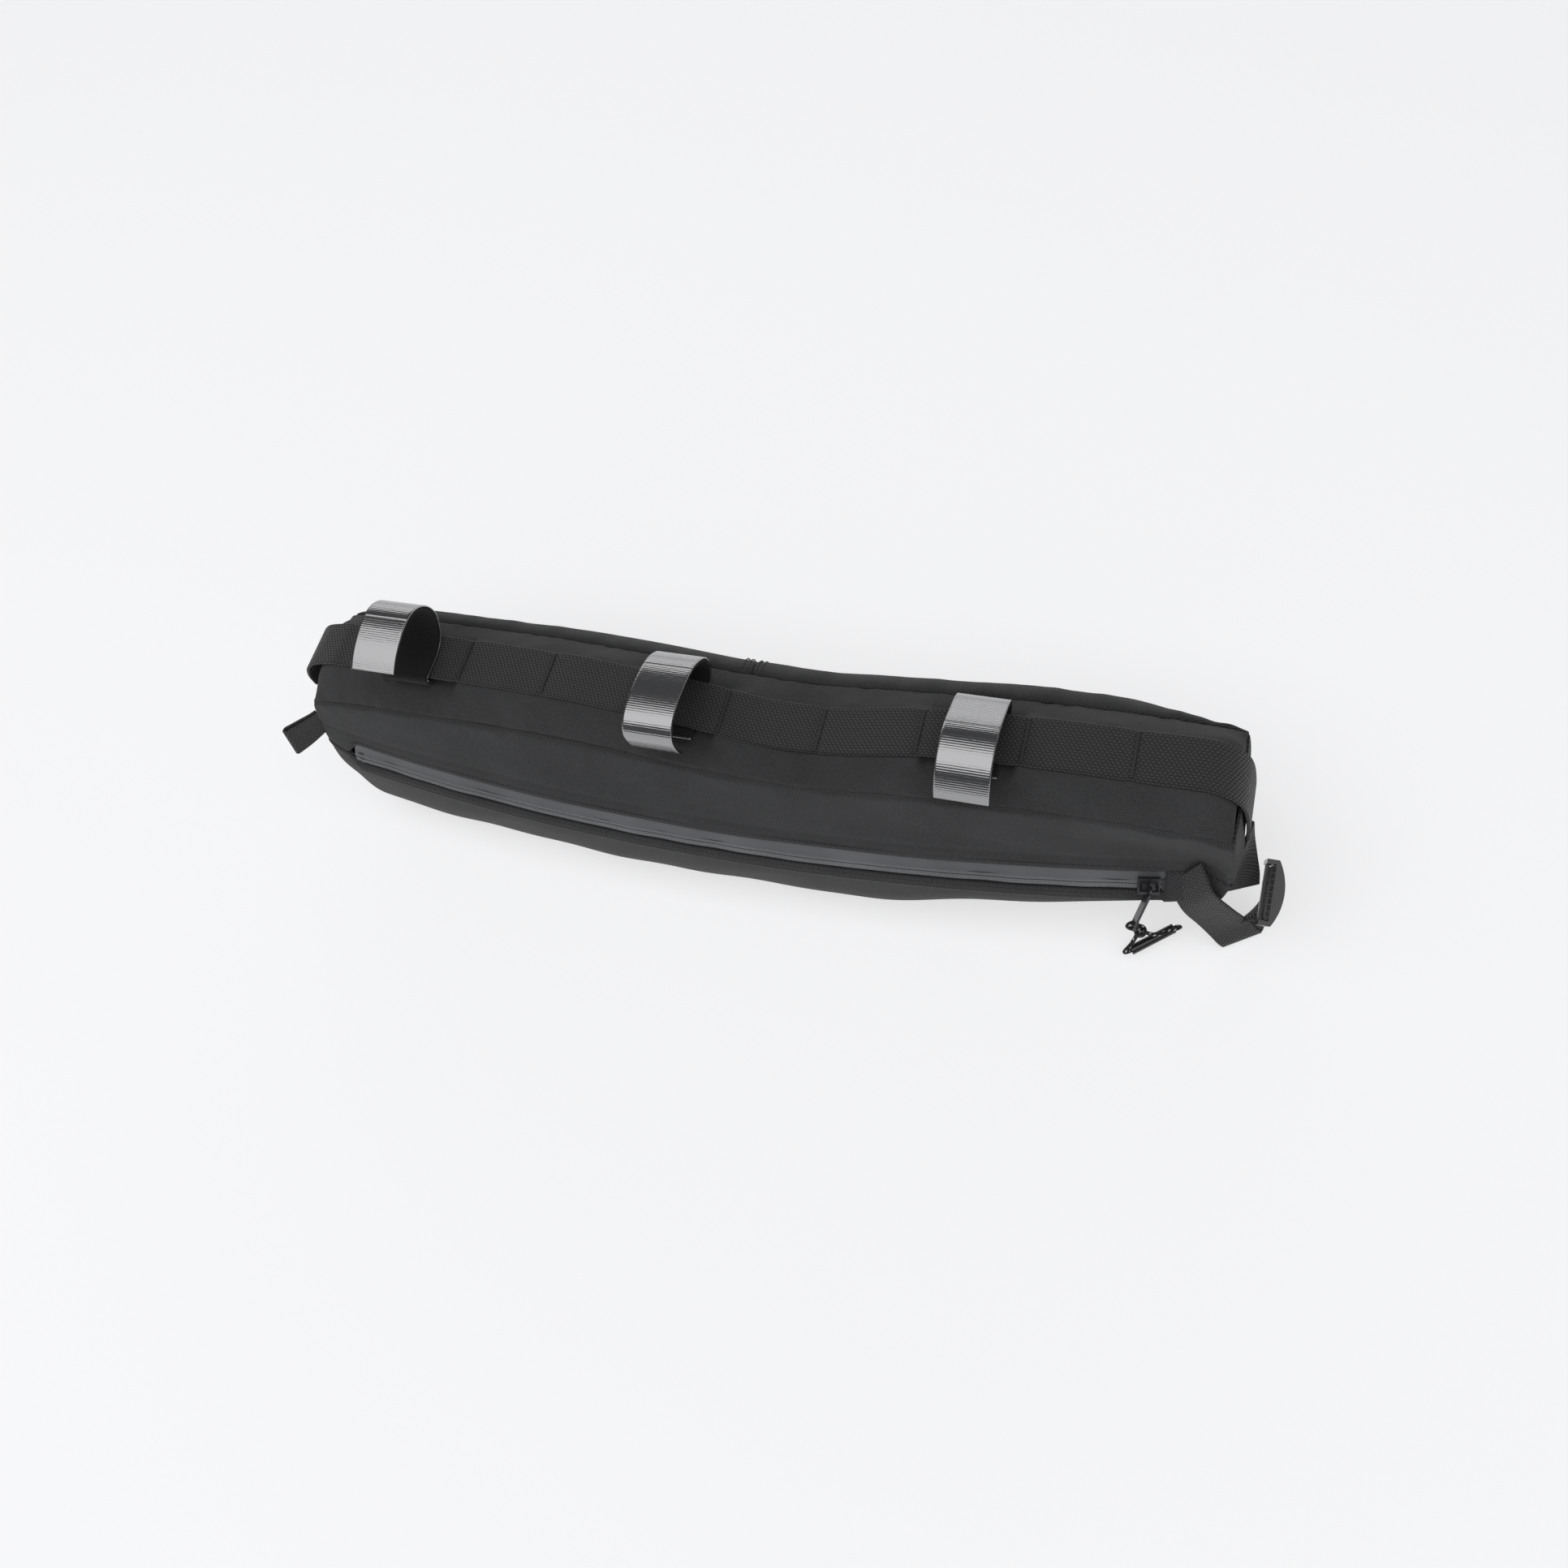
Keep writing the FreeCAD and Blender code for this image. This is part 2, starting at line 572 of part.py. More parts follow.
def ring_band(centre, radius, depth0, depth1, x0):
    """The closed strap: out from under the webbing, round its near edge, back over it, round the tube."""
    cy, cz = centre
    under = strap_top_under(x0 - 2.0, x0 + STRAP_WIDTH + 10.0) - PILE - COAT
    edge_y = ridge_y(x0) - WEB_WIDTH / 2 - 0.4
    end_y = cy + 9.0
    k = math.sqrt(0.5)

    def offset_wire(d):
        r = radius + d
        high, low = cz - r, under + d
        turn, middle = (high - low) / 2, (high + low) / 2
        top, far, bottom = V(x0, cy, cz + r), V(x0, cy + r, cz), V(x0, cy, high)
        over, back = V(x0, edge_y, high), V(x0, edge_y, low)
        return [
            Part.Arc(top, V(x0, cy + r * k, cz + r * k), far).toShape(),
            Part.Arc(far, V(x0, cy + r * k, cz - r * k), bottom).toShape(),
            Part.makeLine(bottom, over),
            Part.Arc(over, V(x0, edge_y - turn, middle), back).toShape(),
            Part.makeLine(back, V(x0, end_y, low)),
        ]

    caps = [
        Part.makeLine(V(x0, end_y, under + depth0), V(x0, end_y, under + depth1)),
        Part.makeLine(V(x0, cy, cz + radius + depth0), V(x0, cy, cz + radius + depth1)),
    ]
    wire = Part.Wire(Part.__sortEdges__(offset_wire(depth0) + offset_wire(depth1) + caps))
    return Part.Face(wire).extrude(V(STRAP_WIDTH, 0, 0))


def closed_strap(x0):
    """The strap that is done up: a ring for a 30 mm tube, and its tail flying off at a tangent."""
    cy, cz, radius = 1.0, 129.7, 15.0
    save("strap_1_lining", ring_band((cy, cz), radius, 0.0, PILE, x0))
    save("strap_1_band", ring_band((cy, cz), radius, PILE + PLY_GAP, PILE + COAT, x0))
    top = cz + radius + PILE + COAT
    tail = [(cy - 0.3, top), (-6.0, top - 0.5), (-13.0, top - 2.1), (-19.5, top - 4.4), (-25.5, top - 7.6)]
    save("strap_1_tail", profile_band(tail, 0.0, COAT - PLY_GAP, 0.0, 1.0, x0)[0])
    save("strap_1_tail_lining", profile_band(tail, COAT, COAT + PILE, 0.0, 1.0, x0)[0])


def open_strap(number, x0, under, over, split):
    """A strap left open: it runs under the webbing, up the far side and over towards the near side."""
    points = under + over
    cut = split / (len(points) - 1)
    gap = 0.003
    for name, start, end in (("", 0.0, cut - gap), ("_tail", cut + gap, 1.0)):
        band = profile_band(points, 0.0, COAT - PLY_GAP, start, end, x0)[0]
        lining = profile_band(points, COAT, COAT + PILE, start, end, x0)[0]
        save("strap_%d%s" % (number, name or "_band"), band)
        save("strap_%d%s_lining" % (number, name), lining)


def straps():
    closed_strap(-182.6)
    low = strap_top_under(-41.5, -5.0) - COAT - PILE
    under = [(-21.5, low + 1.8), (-15.0, low), (-4.0, low), (6.0, low), (12.5, low + 1.0)]
    over = [(16.6, 110.9), (17.6, 116.2), (16.2, 122.3), (12.0, 127.4), (7.1, 131.1), (0.5, 133.9)]
    over += [(-5.1, 135.2), (-10.8, 136.0), (-16.7, 136.3), (-22.1, 136.0), (-26.7, 134.9), (-30.2, 132.9)]
    over += [(-32.8, 129.6), (-33.9, 124.8), (-33.3, 117.5), (-31.8, 112.1)]
    open_strap(2, -36.0, under, over, 11)
    low = strap_top_under(102.0, 138.5) - COAT - PILE
    under = [(-18.5, low + 1.8), (-12.0, low), (-1.0, low), (9.0, low), (15.0, low + 0.9)]
    over = [(18.6, 111.0), (18.6, 115.6), (14.4, 120.6), (7.0, 125.0), (-0.2, 128.9), (-6.0, 131.4)]
    over += [(-11.0, 132.4), (-17.0, 132.0), (-22.8, 130.2), (-27.3, 127.2), (-30.5, 123.5), (-33.1, 119.2)]
    over += [(-34.6, 114.9)]
    open_strap(3, 110.0, under, over, 11)


# ---- loops at the ends --------------------------------------------------------------------------------
def between_edges(pairs, samples, thickness):
    """A strap whose two edges run through pairs of points, (left, right) for each place."""
    middles = [(left + right) * 0.5 for left, right in pairs]
    at = [0.0]
    for a, b in zip(middles, middles[1:]):
        at.append(at[-1] + math.sqrt((b - a).Length))
    at = [value / at[-1] for value in at]
    edges = []
    for side in (0, 1):
        curve = Part.BSplineCurve()
        curve.interpolate(Points=[pair[side] for pair in pairs], Parameters=at)
        edges.append(curve)
    profiles = []
    for i in range(samples):
        t = i / (samples - 1)
        left, right = edges[0].value(t), edges[1].value(t)
        travel = V(edges[0].tangent(t)[0]) + V(edges[1].tangent(t)[0])
        lift = travel.cross(right - left).normalize() * (thickness / 2)
        corners = [left - lift, right - lift, right + lift, left + lift]
        profiles.append(Part.makePolygon(corners + [corners[0]]))
    return Part.makeLoft(profiles, True, True)


def rear_loop():
    """A folded ribbon that sticks out at the rear end near its top."""
    pairs = [
        (V(-243.2, -30.0, 62.5), V(-242.4, -28.6, 79.0)),
        (V(-248.0, -35.0, 60.5), V(-247.5, -32.2, 77.6)),
        (V(-253.4, -40.4, 59.0), V(-253.2, -36.2, 76.4)),
        (V(-256.4, -43.2, 58.6), V(-256.8, -38.6, 76.0)),
        (V(-257.6, -42.8, 58.6), V(-258.2, -38.0, 76.0)),
        (V(-257.4, -41.2, 58.8), V(-258.0, -36.4, 76.2)),
        (V(-254.2, -38.2, 59.4), V(-254.8, -33.8, 76.6)),
        (V(-249.2, -33.4, 60.8), V(-249.4, -30.2, 77.8)),
        (V(-244.8, -29.2, 62.6), V(-244.8, -27.6, 79.0)),
    ]
    return between_edges(pairs, 61, 1.2)


def front_loop():
    """The two halves of the adjustable loop at the front lower corner."""
    run = V(0, -0.34, 0.94).normalize()
    half = V(0, 0.94, 0.34).normalize() * (LOOP_WIDTH / 2)
    lower = [
        (V(222.5, -35.8, 34.0), V(233.8, -33.0, 56.0)),
        (V(229.8, -36.9, 23.5), V(243.6, -31.8, 37.0)),
        (V(236.8, -38.2, 13.0), V(252.8, -28.4, 17.0)),
        (V(242.4, -39.2, 4.6), V(259.4, -28.4, 5.0)),
        (V(243.8, -38.4, 2.6), V(260.8, -27.2, 2.8)),
        (V(244.2, -36.4, 4.6), V(261.2, -25.4, 5.0)),
        (V(245.8, -31.8, 13.0), V(262.6, -19.0, 16.0)),
        (V(252.0, -30.8, 21.5), V(261.4, -11.6, 26.8)),
    ]
    place = V(257.8, -19.8, 32.0)
    lower += [(place + run * k - half, place + run * k + half) for k in (0.0, 5.0, 10.0, 15.0, 20.0, 25.0)]
    upper = [
        (V(245.4, -22.5, 63.6), V(246.8, -1.0, 66.8)),
        (V(245.0, -21.8, 59.0), V(247.6, -3.6, 61.0)),
        (V(244.0, -20.8, 50.0), V(250.4, -9.0, 52.0)),
        (V(243.4, -20.2, 42.0), V(253.0, -13.6, 43.5)),
        (V(243.6, -19.8, 35.5), V(254.2, -16.8, 37.0)),
    ]
    save("lower_loop_strap", between_edges(lower, 96, LOOP_THICK))
    save("upper_loop_strap", between_edges(upper, 30, LOOP_THICK))


def tri_glide():
    """A three-bar slider: two outer bars, bowed outwards, and a middle bar on the webbing's other side."""
    along, across, out = V(0, -0.34, 0.94), V(0, 0.94, 0.34), V(1, 0, 0)
    centre = V(257.8, -23.4, 42.0)
    along, across = along.normalize(), across.normalize()
    clear = LOOP_THICK / 2 + 0.35
    wide = LOOP_WIDTH / 2 + 0.5
    rail = wide + 2.2

    def at(a, b, n):
        return centre + along * a + across * b + out * n

    def block(a0, a1, b0, b1, n0, n1):
        corners = [at(a0, b0, n0), at(a0, b1, n0), at(a0, b1, n1), at(a0, b0, n1), at(a0, b0, n0)]
        wire = Part.makePolygon(corners)
        return Part.Face(wire).extrude(along * (a1 - a0))

    def bowed(a0, a1):
        inner = Part.makeLine(at(a0, -rail, clear), at(a0, rail, clear))
        ends = [Part.makeLine(at(a0, b, clear), at(a0, b, clear + 1.2)) for b in (-rail, rail)]
        foot_a, foot_b = at(a0, -rail, clear + 1.2), at(a0, rail, clear + 1.2)
        outer = Part.Arc(foot_a, at(a0, 0, clear + BUCKLE_BOW), foot_b)
        wire = Part.Wire(Part.__sortEdges__([inner, outer.toShape()] + ends))
        return Part.Face(wire).extrude(along * (a1 - a0))

    shape = bowed(5.0, 9.0).fuse(bowed(-9.0, -5.0))
    for b0, b1 in ((wide, rail), (-rail, -wide)):
        shape = shape.fuse(block(-9.0, 9.0, b0, b1, -clear - 1.8, clear + 1.2))
    shape = shape.fuse(block(-1.6, 1.6, -wide - 1, wide + 1, -clear - 1.8, -clear))
    return shape.removeSplitter()


def main():
    os.makedirs(PARTS, exist_ok=True)
    side_panels()
    gussets()
    save("base_stiffener", base_stiffener())
    save("near_seam_binding", seam_binding(-1))
    save("far_seam_binding", seam_binding(1))
    zipper()
    puller()
    save("daisy_chain_webbing", daisy_chain())
    bar_tacks()
    straps()
    save("rear_loop_ribbon", rear_loop())
    front_loop()
    save("tri_glide_buckle", tri_glide())


main()
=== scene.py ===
"""A bicycle half-frame bag on a pale studio floor, seen from above its zipper side.

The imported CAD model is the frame. Cloth, webbing, straps, zipper and cord are rebuilt here on the same
form, in millimetres, with seams, stitches and weaves; metal and plastic pieces get their soft edges.
"""

import math

import bpy
import numpy as np
from mathutils import Matrix, Vector


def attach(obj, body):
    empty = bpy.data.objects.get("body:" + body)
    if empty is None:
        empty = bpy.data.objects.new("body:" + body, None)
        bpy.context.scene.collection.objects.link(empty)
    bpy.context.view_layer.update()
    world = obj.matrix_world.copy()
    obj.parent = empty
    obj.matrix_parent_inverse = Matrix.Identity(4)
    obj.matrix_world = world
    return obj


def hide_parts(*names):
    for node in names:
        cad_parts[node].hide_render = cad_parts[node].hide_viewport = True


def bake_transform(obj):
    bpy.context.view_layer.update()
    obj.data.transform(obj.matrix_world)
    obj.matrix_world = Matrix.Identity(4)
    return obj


MM = 0.001

# ---- the bag's form: the same driving dimensions as the CAD, in millimetres -----------------------------
FABRIC = 1.2
SEAM_Z, GUSSET_HALF, BASE_HALF = 98.5, 29.0, 31.0
REAR_X, REAR_BOW, FRONT_X, FRONT_BOW = -233.0, 11.0, 238.0, 2.5
REAR_CROWN, FRONT_CROWN, FRONT_FILL = 5.0, 2.0, 3.0
WEB_WIDTH, WEB_THICK, WEB_TOP = 25.0, 1.6, 112.2
TACK_PITCH, FIRST_TACK_X, TACK_COUNT = 47.64, -189.6, 9
STRAP_CELLS = (0, 3, 6)
ZIP_RADIUS, ZIP_MID_X, ZIP_MID_Y = 1400.0, -27.0, -52.0
ZIP_Z, ZIP_Z_X, ZIP_FALL, ZIP_LEAN, ZIP_OPENING = 54.5, -12.0, 0.0178, 0.5, 7.1
CORNER_X, STRAP_WIDTH = 214.0, 25.0
COAT, PLY = 1.15, 1.0           # a strap's coated ply and its pile
STRAP_X = (-182.6, -36.0, 110.0)

# ---- the viewing angle, as the camera's own axes, its place in metres and its lens in millimetres -------
CAMERA_RIGHT = (0.945315, 0.258706, -0.198623)
CAMERA_DOWN = (0.150653, -0.886459, -0.437600)
CAMERA_AHEAD = (-0.289280, 0.383747, -0.876958)
CAMERA_PLACE = (0.206633, -0.257538, 0.613369)
CAMERA_LENS, CAMERA_SENSOR = 28.76969, 36.0


def bump(x, centre, width):
    return np.exp(-(((x - centre) / width) ** 2))


def ease(t):
    t = np.clip(t, 0.0, 1.0)
    return t * t * (3 - 2 * t)


def lerp(a, b, t):
    return a + (b - a) * t


def ridge_y(x):
    return 2.0 - 7.0 * bump(x, 25.0, 80.0)


def web_top_z(x):
    return WEB_TOP - 7.4 * bump(x, 42.0, 40.0)


def top_z(x):
    return SEAM_Z - 5.0 * (np.abs(x - 3.0) / 237.0) ** 10


def base_z(x):
    d = x - 73.0
    rise = np.where(d > 30.0, d * 0.265, np.where(d > -30.0, (d + 30.0) ** 2 / 120.0 * 0.265, 0.0))
    return rise + np.where(x < -190.0, 6.0 * ((-190.0 - x) / 43.0) ** 2, 0.0)


def height_share(x, z):
    return np.clip((z - base_z(x)) / (top_z(x) - base_z(x)), 0.0, 1.0)


def rear_x(v):
    return REAR_X - REAR_BOW * (1 - (2 * v - 1) ** 2)


def front_x(v):
    return FRONT_X + FRONT_BOW * (1 - (2 * v - 1) ** 2)


def zip_y(x):
    return ZIP_MID_Y + ZIP_RADIUS - np.sqrt(ZIP_RADIUS**2 - (x - ZIP_MID_X) ** 2)


def zip_z(x):
    return ZIP_Z - ZIP_FALL * (x - ZIP_Z_X)


def opening(x):
    return lerp(ZIP_OPENING, 0.3, ease((-217.0 - x) / 11.0))


def fade_to(x, start, end):
    s = np.clip((x - start) / (end - start), 0.0, 1.0)
    return np.sqrt(np.maximum(0.0, 1 - s**2))


def near_y(x, z):
    zc, yc, v = zip_z(x), zip_y(x), height_share(x, z)
    top_seam, base_seam = ridge_y(x) - GUSSET_HALF, -BASE_HALF
    rise = top_z(x) - zc - ZIP_OPENING
    t = np.clip((z - zc - ZIP_OPENING) / rise, 0.0, 1.0)
    edge = yc + ZIP_LEAN * ZIP_OPENING
    pull = ZIP_LEAN * rise - (top_seam - edge)
    upper = edge + (top_seam - edge) * t + pull * t * (1 - t) ** 2
    low = np.maximum(1.0, zc - ZIP_OPENING - base_z(x))
    t = np.clip((z - base_z(x)) / low, 0.0, 1.0)
    edge = yc - ZIP_LEAN * ZIP_OPENING
    lower = base_seam + (edge - base_seam) * (2 * t - t * t) ** 0.4 - 0.55 * ZIP_LEAN * low * t * (1 - t)
    below = np.where(z <= zc - ZIP_OPENING, lower, yc + ZIP_LEAN * (z - zc))
    y = np.where(z >= zc + ZIP_OPENING, upper, below)
    seam = lerp(base_seam, top_seam, v)
    fade = fade_to(-x, 220.0, -rear_x(v)) * fade_to(x, CORNER_X + 2, front_x(v)) ** 2
    return seam + (y - seam) * fade


def far_y(x, z):
    v = height_share(x, z)
    seam = lerp(BASE_HALF, GUSSET_HALF + ridge_y(x), v)
    fade = fade_to(-x, 195.0, -rear_x(v)) * (1 - ease((x - 160.0) / 110.0)) * fade_to(x, 214.0, front_x(v))
    return seam + 21.0 * fade * np.sqrt(np.maximum(0.0, np.sin(math.pi * v)))


def strap_cell(x):
    """1 in the cells of the webbing that hold a strap, 0 elsewhere."""
    hold = np.zeros_like(x)
    for cell in STRAP_CELLS:
        start = FIRST_TACK_X + cell * TACK_PITCH
        hold += ease((x - start - 1.0) / 4.0) * ease((start + TACK_PITCH - 1.0 - x) / 4.0)
    return hold


def soft_cell(x):
    """Where the straps pass under the webbing, for the gusset's flanks: the cloth goes over gradually."""
    hold = np.zeros_like(x)
    for cell in STRAP_CELLS:
        start = FIRST_TACK_X + cell * TACK_PITCH
        hold += ease((x - start + 14.0) / 30.0) * ease((start + TACK_PITCH + 14.0 - x) / 30.0)
    return hold


def crown_z(x, cell=strap_cell):
    """Height of the top gusset's crest: close under the webbing, lower where a strap passes between."""
    proud = web_top_z(x) - WEB_THICK - lerp(0.15, 5.4, cell(x)) - top_z(x)
    return top_z(x) + proud * fade_to(-x, 214.0, 233.0) * fade_to(x, 219.0, FRONT_X)


def waves(u, v, size, seed, count=7):
    """Smooth noise of about unit height: a few sine waves in directions that the seed picks."""
    rng = np.random.default_rng(seed)
    total = np.zeros(np.broadcast(u, v).shape)
    for _ in range(count):
        turn, phase = rng.uniform(0, 2 * math.pi, 2)
        k = 2 * math.pi / (size * rng.uniform(0.6, 1.7))
        total = total + np.sin(k * (u * math.cos(turn) + v * math.sin(turn)) + phase)
    return total / math.sqrt(count)


# ---- meshes ---------------------------------------------------------------------------------------------
def add_mesh(name, verts, faces, uvs, material, body=None):
    """A mesh from points in millimetres, with one (u, v) in millimetres for each corner point."""
    mesh = bpy.data.meshes.new(name)
    mesh.from_pydata((np.asarray(verts, float) * MM).tolist(), [], faces)
    if uvs is not None:
        layer = mesh.uv_layers.new(name="UVMap")
        index = np.empty(len(mesh.loops), dtype=np.int32)
        mesh.loops.foreach_get("vertex_index", index)
        layer.data.foreach_set("uv", np.asarray(uvs, float)[index].ravel())
    mesh.polygons.foreach_set("use_smooth", [True] * len(mesh.polygons))
    mesh.materials.append(material)
    obj = bpy.data.objects.new(name, mesh)
    bpy.context.scene.collection.objects.link(obj)
    if body is not None:
        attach(obj, body)
    return obj


def grid_faces(nu, nv, start=0, flip=False):
    i, j = np.meshgrid(np.arange(nu - 1), np.arange(nv - 1), indexing="ij")
    a = start + (i * nv + j).ravel()
    quad = np.stack([a, a + nv, a + nv + 1, a + 1], 1)
    return (quad[:, ::-1] if flip else quad).tolist()


def normals_of(points):
    du, dv = np.gradient(points, axis=0), np.gradient(points, axis=1)
    n = np.cross(du, dv)
    return n / np.maximum(np.linalg.norm(n, axis=2, keepdims=True), 1e-9)


def lengths_along(points, axis):
    step = np.linalg.norm(np.diff(points, axis=axis), axis=2)
    pad = [(1, 0), (0, 0)] if axis == 0 else [(0, 0), (1, 0)]
    return np.cumsum(np.pad(step, pad), axis=axis)


def cloth(name, points, inward, material, roll=(0, 0, 0, 0), nodes=(), detail=None):
    """A sheet of the bag with its outer face through a grid of points.

    roll rounds its four edges inward, first and last column, then first and last row; detail lifts the
    face by a height for each point.
    """
    n = normals_of(points)
    mid = n[n.shape[0] // 2, n.shape[1] // 2]
    n = n if np.dot(mid, inward) > 0 else -n
    along, across = lengths_along(points, 0), lengths_along(points, 1)
    left = [along, along[-1:] - along, across, across[:, -1:] - across]
    drop = np.zeros(points.shape[:2])
    for distance, radius in zip(left, roll):
        if radius:
            reach = np.clip(radius - distance, 0.0, radius)
            drop += radius - np.sqrt(radius**2 - reach**2)
    if detail is not None:
        drop = drop - detail
    outer = points + n * drop[..., None]
    inner = outer + n * FABRIC
    nu, nv = points.shape[:2]
    uv = np.stack([points[..., 0], across], 2)
    verts = np.concatenate([outer.reshape(-1, 3), inner.reshape(-1, 3)])
    uvs = np.concatenate([uv.reshape(-1, 2)] * 2)
    outward_first = np.dot(np.cross(points[1, 0] - points[0, 0], points[0, 1] - points[0, 0]), inward) > 0
    faces = grid_faces(nu, nv, 0, outward_first) + grid_faces(nu, nv, nu * nv, not outward_first)
    ring = [(i, 0) for i in range(nu)] + [(nu - 1, j) for j in range(1, nv)]
    ring += [(i, nv - 1) for i in range(nu - 2, -1, -1)] + [(0, j) for j in range(nv - 2, 0, -1)]
    count, start = len(ring), len(verts)
    rim = [outer[i, j] for i, j in ring] + [inner[i, j] for i, j in ring]
    verts = np.concatenate([verts, rim])
    uvs = np.concatenate([uvs, [uv[i, j] for i, j in ring] * 2])
    for k in range(count):
        m = (k + 1) % count
        quad = [start + k, start + m, start + count + m, start + count + k]
        faces.append(quad[::-1] if outward_first else quad)
    obj = add_mesh(name, verts, faces, uvs, material, "bag")
    if nodes:
        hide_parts(*nodes)


def strip(name, centres, across, normal, size, material, body, node, columns, shape):
    """A webbing: a flat section of width and thickness size with rounded edges, carried along centres.

    shape scales its width at each of the centres.
    """
    half, h = size[0] / 2, size[1] / 2
    edge = 0.5
    s = np.linspace(-1, 1, columns)
    top = [(half * a, h) for a in s]
    profile = top + [(half + edge, 0.0)] + [(half * a, -h) for a in s[::-1]] + [(-half - edge, 0.0)]
    profile = np.array(profile)
    count, ring = len(centres), len(profile)
    points = (
        centres[:, None, :]
        + across[:, None, :] * (profile[None, :, 0:1] * shape[:, None, None])
        + normal[:, None, :] * profile[None, :, 1:2]
    )
    run = np.concatenate([[0], np.cumsum(np.linalg.norm(np.diff(centres, axis=0), axis=1))])
    uv = np.stack(np.broadcast_arrays(run[:, None], profile[None, :, 0] + half), 2)
    faces = []
    for i in range(count - 1):
        for k in range(ring):
            m = (k + 1) % ring
            faces.append([i * ring + k, i * ring + m, (i + 1) * ring + m, (i + 1) * ring + k])
    faces.append(list(range(ring))[::-1])
    faces.append([(count - 1) * ring + k for k in range(ring)])
    obj = add_mesh(name, points.reshape(-1, 3), faces, uv.reshape(-1, 2), material, body)
    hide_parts(node)


def smooth_line(points, count, sides=None):
    """Catmull-Rom through points, evenly resampled; sides, if given, are eased along with it."""
    p = np.asarray(points, float)
    ends = np.concatenate([[2 * p[0] - p[1]], p, [2 * p[-1] - p[-2]]])
    fine, share = [], []
    for i in range(len(p) - 1):
        a, b, c, d = ends[i : i + 4]
        t = np.linspace(0, 1, 16, endpoint=False)[:, None]
        square = (2 * a - 5 * b + 4 * c - d) * t**2
        cube = (3 * b - a - 3 * c + d) * t**3
        fine.append(0.5 * (2 * b + (c - a) * t + square + cube))
        share.append(i + t[:, 0])
    fine = np.concatenate(fine + [p[-1:]])
    share = np.concatenate(share + [[len(p) - 1.0]])
    run = np.concatenate([[0], np.cumsum(np.linalg.norm(np.diff(fine, axis=0), axis=1))])
    at = np.linspace(0, run[-1], count)
    line = np.stack([np.interp(at, run, fine[:, k]) for k in range(p.shape[1])], 1)
    if sides is None:
        return line
    where = np.interp(at, run, share)
    s = np.asarray(sides, float)
    side = np.stack([np.interp(where, np.arange(len(s)), s[:, k]) for k in range(3)], 1)
    tangent = np.gradient(line, axis=0)
    tangent /= np.linalg.norm(tangent, axis=1, keepdims=True)
    side -= tangent * np.sum(side * tangent, axis=1, keepdims=True)
    side /= np.linalg.norm(side, axis=1, keepdims=True)
    return line, side, np.cross(tangent, side)


def fold_line(points, count):
    """A smooth line through unevenly spaced points, evenly resampled, that keeps tight folds tight."""
    p = np.asarray(points, float)
    t = np.concatenate([[0], np.cumsum(np.sqrt(np.linalg.norm(np.diff(p, axis=0), axis=1)))])
    slope = np.diff(p, axis=0) / np.diff(t)[:, None]
    wide = (p[2:] - p[:-2]) / (t[2:] - t[:-2])[:, None]
    m = np.concatenate([slope[:1], slope[:-1] - wide + slope[1:], slope[-1:]])
    s = np.linspace(0, 1, 24, endpoint=False)[:, None]
    fine = []
    for i in range(len(p) - 1):
        h = t[i + 1] - t[i]
        ends = (1 + 2 * s) * (1 - s) ** 2 * p[i] + s * s * (3 - 2 * s) * p[i + 1]
        fine.append(ends + s * (1 - s) ** 2 * h * m[i] + s * s * (s - 1) * h * m[i + 1])
    fine = np.concatenate(fine + [p[-1:]])
    run = np.concatenate([[0], np.cumsum(np.linalg.norm(np.diff(fine, axis=0), axis=1))])
    at = np.linspace(0, run[-1], count)
    return np.stack([np.interp(at, run, fine[:, k]) for k in range(p.shape[1])], 1)


def between(name, pairs, count, thick, material, body, node, columns=36):
    """A webbing whose two edges run through pairs of points, as the CAD's does."""
    line = fold_line([left + right for left, right in pairs], count)
    left, right = line[:, :3], line[:, 3:]
    middle, across = (left + right) / 2, right - left
    width = np.linalg.norm(across, axis=1)
    across /= width[:, None]
    travel = np.gradient(middle, axis=0)
    normal = np.cross(travel, across)
    normal /= np.linalg.norm(normal, axis=1, keepdims=True)
    base = float(width.max())
    size = (base - 1.0, thick)
    strip(name, middle, across, normal, size, material, body, node, columns, width / base)


def stitches(name, line, normal, material, radius=0.34):
    """A row of stitches along a line of points, each a small rounded dash lying on the cloth."""
    pitch, length, sink = 3.1, 2.3, 0.05
    run = np.concatenate([[0], np.cumsum(np.linalg.norm(np.diff(line, axis=0), axis=1))])
    verts, faces = [], []
    at = np.arange(pitch * 0.6, run[-1] - length, pitch)
    for a in at:
        ends = [np.array([np.interp(b, run, line[:, k]) for k in range(3)]) for b in (a, a + length)]
        n = np.array([np.interp(a, run, normal[:, k]) for k in range(3)])
        n /= np.linalg.norm(n)
        t = (ends[1] - ends[0]) / max(1e-6, np.linalg.norm(ends[1] - ends[0]))
        side = np.cross(n, t)
        start = len(verts)
        for share, size in ((0.0, 0.45), (0.22, 0.95), (0.5, 1.05), (0.78, 0.95), (1.0, 0.45)):
            centre = lerp(ends[0], ends[1], share) + n * (radius * size * 0.4 - sink)
            for k in range(6):
                w = k * math.pi / 3
                verts.append(centre + (side * math.cos(w) * 1.15 + n * math.sin(w)) * radius * size)
        for r in range(4):
            for k in range(6):
                m = (k + 1) % 6
                low = start + r * 6
                faces.append([low + k, low + m, low + 6 + m, low + 6 + k])
        faces.append([start + k for k in range(5, -1, -1)])
        faces.append([start + 24 + k for k in range(6)])
    add_mesh(name, verts, faces, np.zeros((len(verts), 2)), material, "bag")


